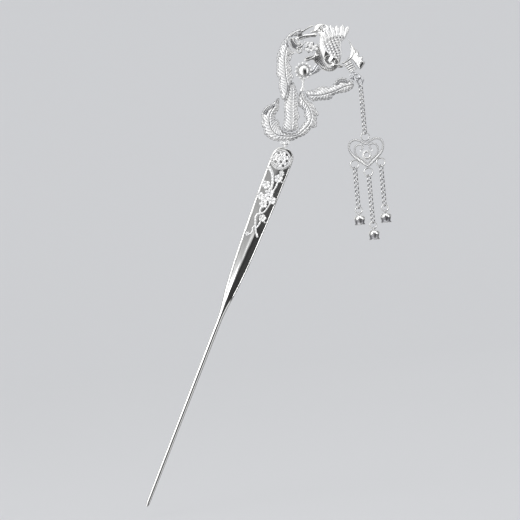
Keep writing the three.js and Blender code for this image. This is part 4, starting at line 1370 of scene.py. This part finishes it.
def heart():
    outline = [HEART_CLEFT, *HEART_HALF, HEART_FOOT, *mirrored(HEART_HALF)[::-1]]
    path = on_tassel(smooth(outline, 0.12, closed=True))
    size = np.interp(path[:, 2], [-9.8, -8.8, -6.2, -4.5], [0.48, 0.62, 0.54, 0.4])
    form = Form().take(*rope(path, size, 1.15, closed=True))
    piece("heart_frame", form)

    path = on_tassel(smooth([*mirrored(SCROLL_HALF), SCROLL_FOOT, *SCROLL_HALF[::-1]], 0.12))
    ends = np.interp(np.linspace(0, 1, len(path)), [0, 0.12, 0.5, 0.88, 1], [0.27, 0.34, 0.3, 0.34, 0.27])
    form = Form().take(*rope(path, ends, 1.0))
    for x, z in (SCROLL_HALF[0], mirrored(SCROLL_HALF)[0]):
        for front in (-1, 1):
            form.take(pointed(lathe(SCROLL_KNOB, 16), front, (TASSEL_X + x, 0, z)))
    piece("heart_scroll", form)

    centre = middle_of("heart_rosette") - JOINT
    ring = circle(centre[[0, 2]], 1.15)
    form = Form().take(painted_side_shade(tube(ring, 0.32, WIRE_SIDES, closed=True), len(ring), WIRE_SIDES))
    form.take(beaded(circle(centre[[0, 2]], 1.52), 0.2, 0.5))
    for i in range(8):
        angle = 2 * math.pi * (i + 0.5) / 8
        for front in (-1, 1):
            spot = (centre[0] + ROSETTE_RADIUS * math.cos(angle), 0.24 * front,
                    centre[2] + ROSETTE_RADIUS * math.sin(angle))
            form.take(pointed(lathe(ROSETTE_GRAIN, 10), front, spot))
    piece("heart_rosette", form)

    centre = middle_of("heart_ring") - JOINT
    low, high = box_of("heart_ring")
    turns = np.linspace(0, 4 * math.pi, COIL_STEPS)
    size = (high[0] - low[0]) / 2 - np.linspace(COIL_WIRE, 0.3, COIL_STEPS)
    coil = in_plane(np.column_stack([TASSEL_X + size * np.cos(turns), centre[2] + size * np.sin(turns)]))
    # Painted shade: the whole coil is darkened.
    form = Form().take(tube(coil, COIL_WIRE, WIRE_SIDES, squash=0.62, dark=0.3))
    piece("heart_ring", form)

    for name in RUNS:
        eye = middle_of(f"{name}_eye") - JOINT
        piece(f"{name}_eye", Form().take(wire_ring([eye[0], 0, eye[2]], EYE_RADIUS, RING_THICK)))

    ring = middle_of("beak_ring") - JOINT
    wire = wire_ring([TASSEL_X, 0, ring[2]], BEAK_RING_RADIUS, BEAK_RING_WIRE, "x")
    piece("beak_ring", Form().take(wire))


# ---- Stage ----

VIEW_WIDTH = 186.6
VIEW_FROM_JOINT = [-12.7, 0, -40.4]
VIEW_ROLL = math.radians(5.2)
LENS = 170
SENSOR = 36


def studio():
    """A pale round cove, soft lights and the camera."""
    low, high = (np.array(corner) for corner in CAD_BOX)
    centre = (low + high) / 2
    floor_z = low[2] - 0.004
    profile = smooth([(0.0, 0.0), (0.9, 0.0), (1.15, 0.02), (1.38, 0.12), (1.52, 0.3), (1.58, 0.6), (1.6, 1.4),
                      (1.6, 2.4)], 0.04)
    sides = 96
    angles = around(sides)
    rings = profile[1:]
    points = np.stack([centre[0] + rings[:, :1] * np.cos(angles), rings[:, :1] * np.sin(angles),
                       floor_z + rings[:, 1:] * np.ones(sides)], -1).reshape(-1, 3)
    points = np.vstack([points, [centre[0], 0, floor_z]])
    foot = fan(np.arange(sides), len(points) - 1, flip=True)
    faces = quads(len(rings), sides).tolist() + foot.tolist()
    mesh = bpy.data.meshes.new("studio_cove")
    mesh.from_pydata(points.tolist(), [], [face[::-1] for face in faces])
    mesh.polygons.foreach_set("use_smooth", np.ones(len(mesh.polygons), bool))
    cove = bpy.data.objects.new("studio_cove", mesh)
    paper = bpy.data.materials.new("pale_paper")
    paper.use_nodes = True
    shader = paper.node_tree.nodes["Principled BSDF"]
    shader.inputs["Base Color"].default_value = (0.3, 0.3, 0.31, 1)
    shader.inputs["Roughness"].default_value = 0.9
    shader.inputs["Emission Color"].default_value = (0.96, 0.98, 1.0, 1)
    shader.inputs["Emission Strength"].default_value = 0.36
    mesh.materials.append(paper)
    bpy.context.scene.collection.objects.link(cove)
    cove.visible_glossy = False
    cove.visible_shadow = False

    target = Vector(centre)

    def light(name, place, size, power, height=None):
        lamp = bpy.data.lights.new(name, "AREA")
        lamp.shape = "RECTANGLE" if height else "SQUARE"
        lamp.size = size
        if height:
            lamp.size_y = height
        lamp.energy = power
        obj = bpy.data.objects.new(name, lamp)
        bpy.context.scene.collection.objects.link(obj)
        obj.location = target + Vector(place)
        obj.rotation_mode = "QUATERNION"
        obj.rotation_quaternion = (target - obj.location).to_track_quat("-Z", "Y")
        obj.visible_camera = False

    light("key", (-0.55, -0.75, 0.42), 0.62, 2.8)
    light("top", (0.05, -0.15, 0.95), 0.7, 1.6)
    light("strip", (0.8, -0.45, 0.1), 0.22, 0.9, height=0.8)
    light("back", (0.3, 0.8, 0.5), 0.6, 0.25)

    # The room as the silver sees it: bright on the left, dark on the right, with a pale strip far right.
    world = bpy.data.worlds.new("studio")
    bpy.context.scene.world = world
    world.use_nodes = True
    nodes, links = world.node_tree.nodes, world.node_tree.links
    split = nodes.new("ShaderNodeSeparateXYZ")
    links.new(nodes.new("ShaderNodeTexCoord").outputs["Generated"], split.inputs[0])

    def graded(axis, stops):
        span = nodes.new("ShaderNodeMapRange")
        span.inputs[1].default_value = -1
        links.new(split.outputs[axis], span.inputs[0])
        ramp = nodes.new("ShaderNodeValToRGB").color_ramp
        for i, (place, value) in enumerate(stops):
            element = ramp.elements[0] if i == 0 else ramp.elements.new((place + 1) / 2)
            element.position = (place + 1) / 2
            element.color = (value, value, value, 1)
        ramp.elements.remove(ramp.elements[-1])
        links.new(span.outputs[0], nodes[-1].inputs[0])
        return nodes[-1].outputs[0]

    def combined(operation, first, second):
        made = nodes.new("ShaderNodeMath")
        made.operation = operation
        links.new(first, made.inputs[0])
        links.new(second, made.inputs[1])
        return made.outputs[0]

    sideways = graded("X", [(-1, 0.5), (-0.8, 1.0), (-0.35, 1.0), (-0.22, 0.62), (-0.14, 0.34), (-0.04, 0.2),
                            (0.08, 0.07), (0.2, 0.03), (0.6, 0.03), (0.72, 0.75), (0.88, 0.7), (1, 0.2)])
    upright = graded("Z", [(-1, 0.3), (-0.75, 0.12), (-0.2, 0.0), (0.1, 0.0), (0.75, 0.9), (1, 1.0)])
    behind = graded("Y", [(-1, 1.0), (-0.2, 1.0), (0.1, 0.15), (1, 0.05)])
    room = combined("MULTIPLY", combined("MAXIMUM", sideways, upright), behind)
    links.new(room, nodes["Background"].inputs["Color"])
    nodes["Background"].inputs["Strength"].default_value = 1.15

    # A long lens, level with the middle of the blade and rolled a little to the left.
    camera_data = bpy.data.cameras.new("camera")
    camera_data.lens = LENS
    camera_data.sensor_width = SENSOR
    camera_data.clip_end = 20
    camera = bpy.data.objects.new("camera", camera_data)
    bpy.context.scene.collection.objects.link(camera)
    aim = (JOINT + VIEW_FROM_JOINT) * MM
    distance = VIEW_WIDTH * MM / SENSOR * LENS
    camera.location = (aim[0], -distance, aim[2])
    camera.rotation_euler = (math.pi / 2, VIEW_ROLL, 0)
    bpy.context.scene.camera = camera
    bpy.context.scene.view_settings.view_transform = "Standard"


for plume_node in PLUMES:
    plume(plume_node)
body_shell()
near_wing()
far_wing()
crest_plume()
neck_collar()
head()
ribbons()
flower()
tail_collar()
pin_shaft()
medallion()
sprig()
main_chain()
heart()
for strand_name in RUNS:
    strand(strand_name)
studio()
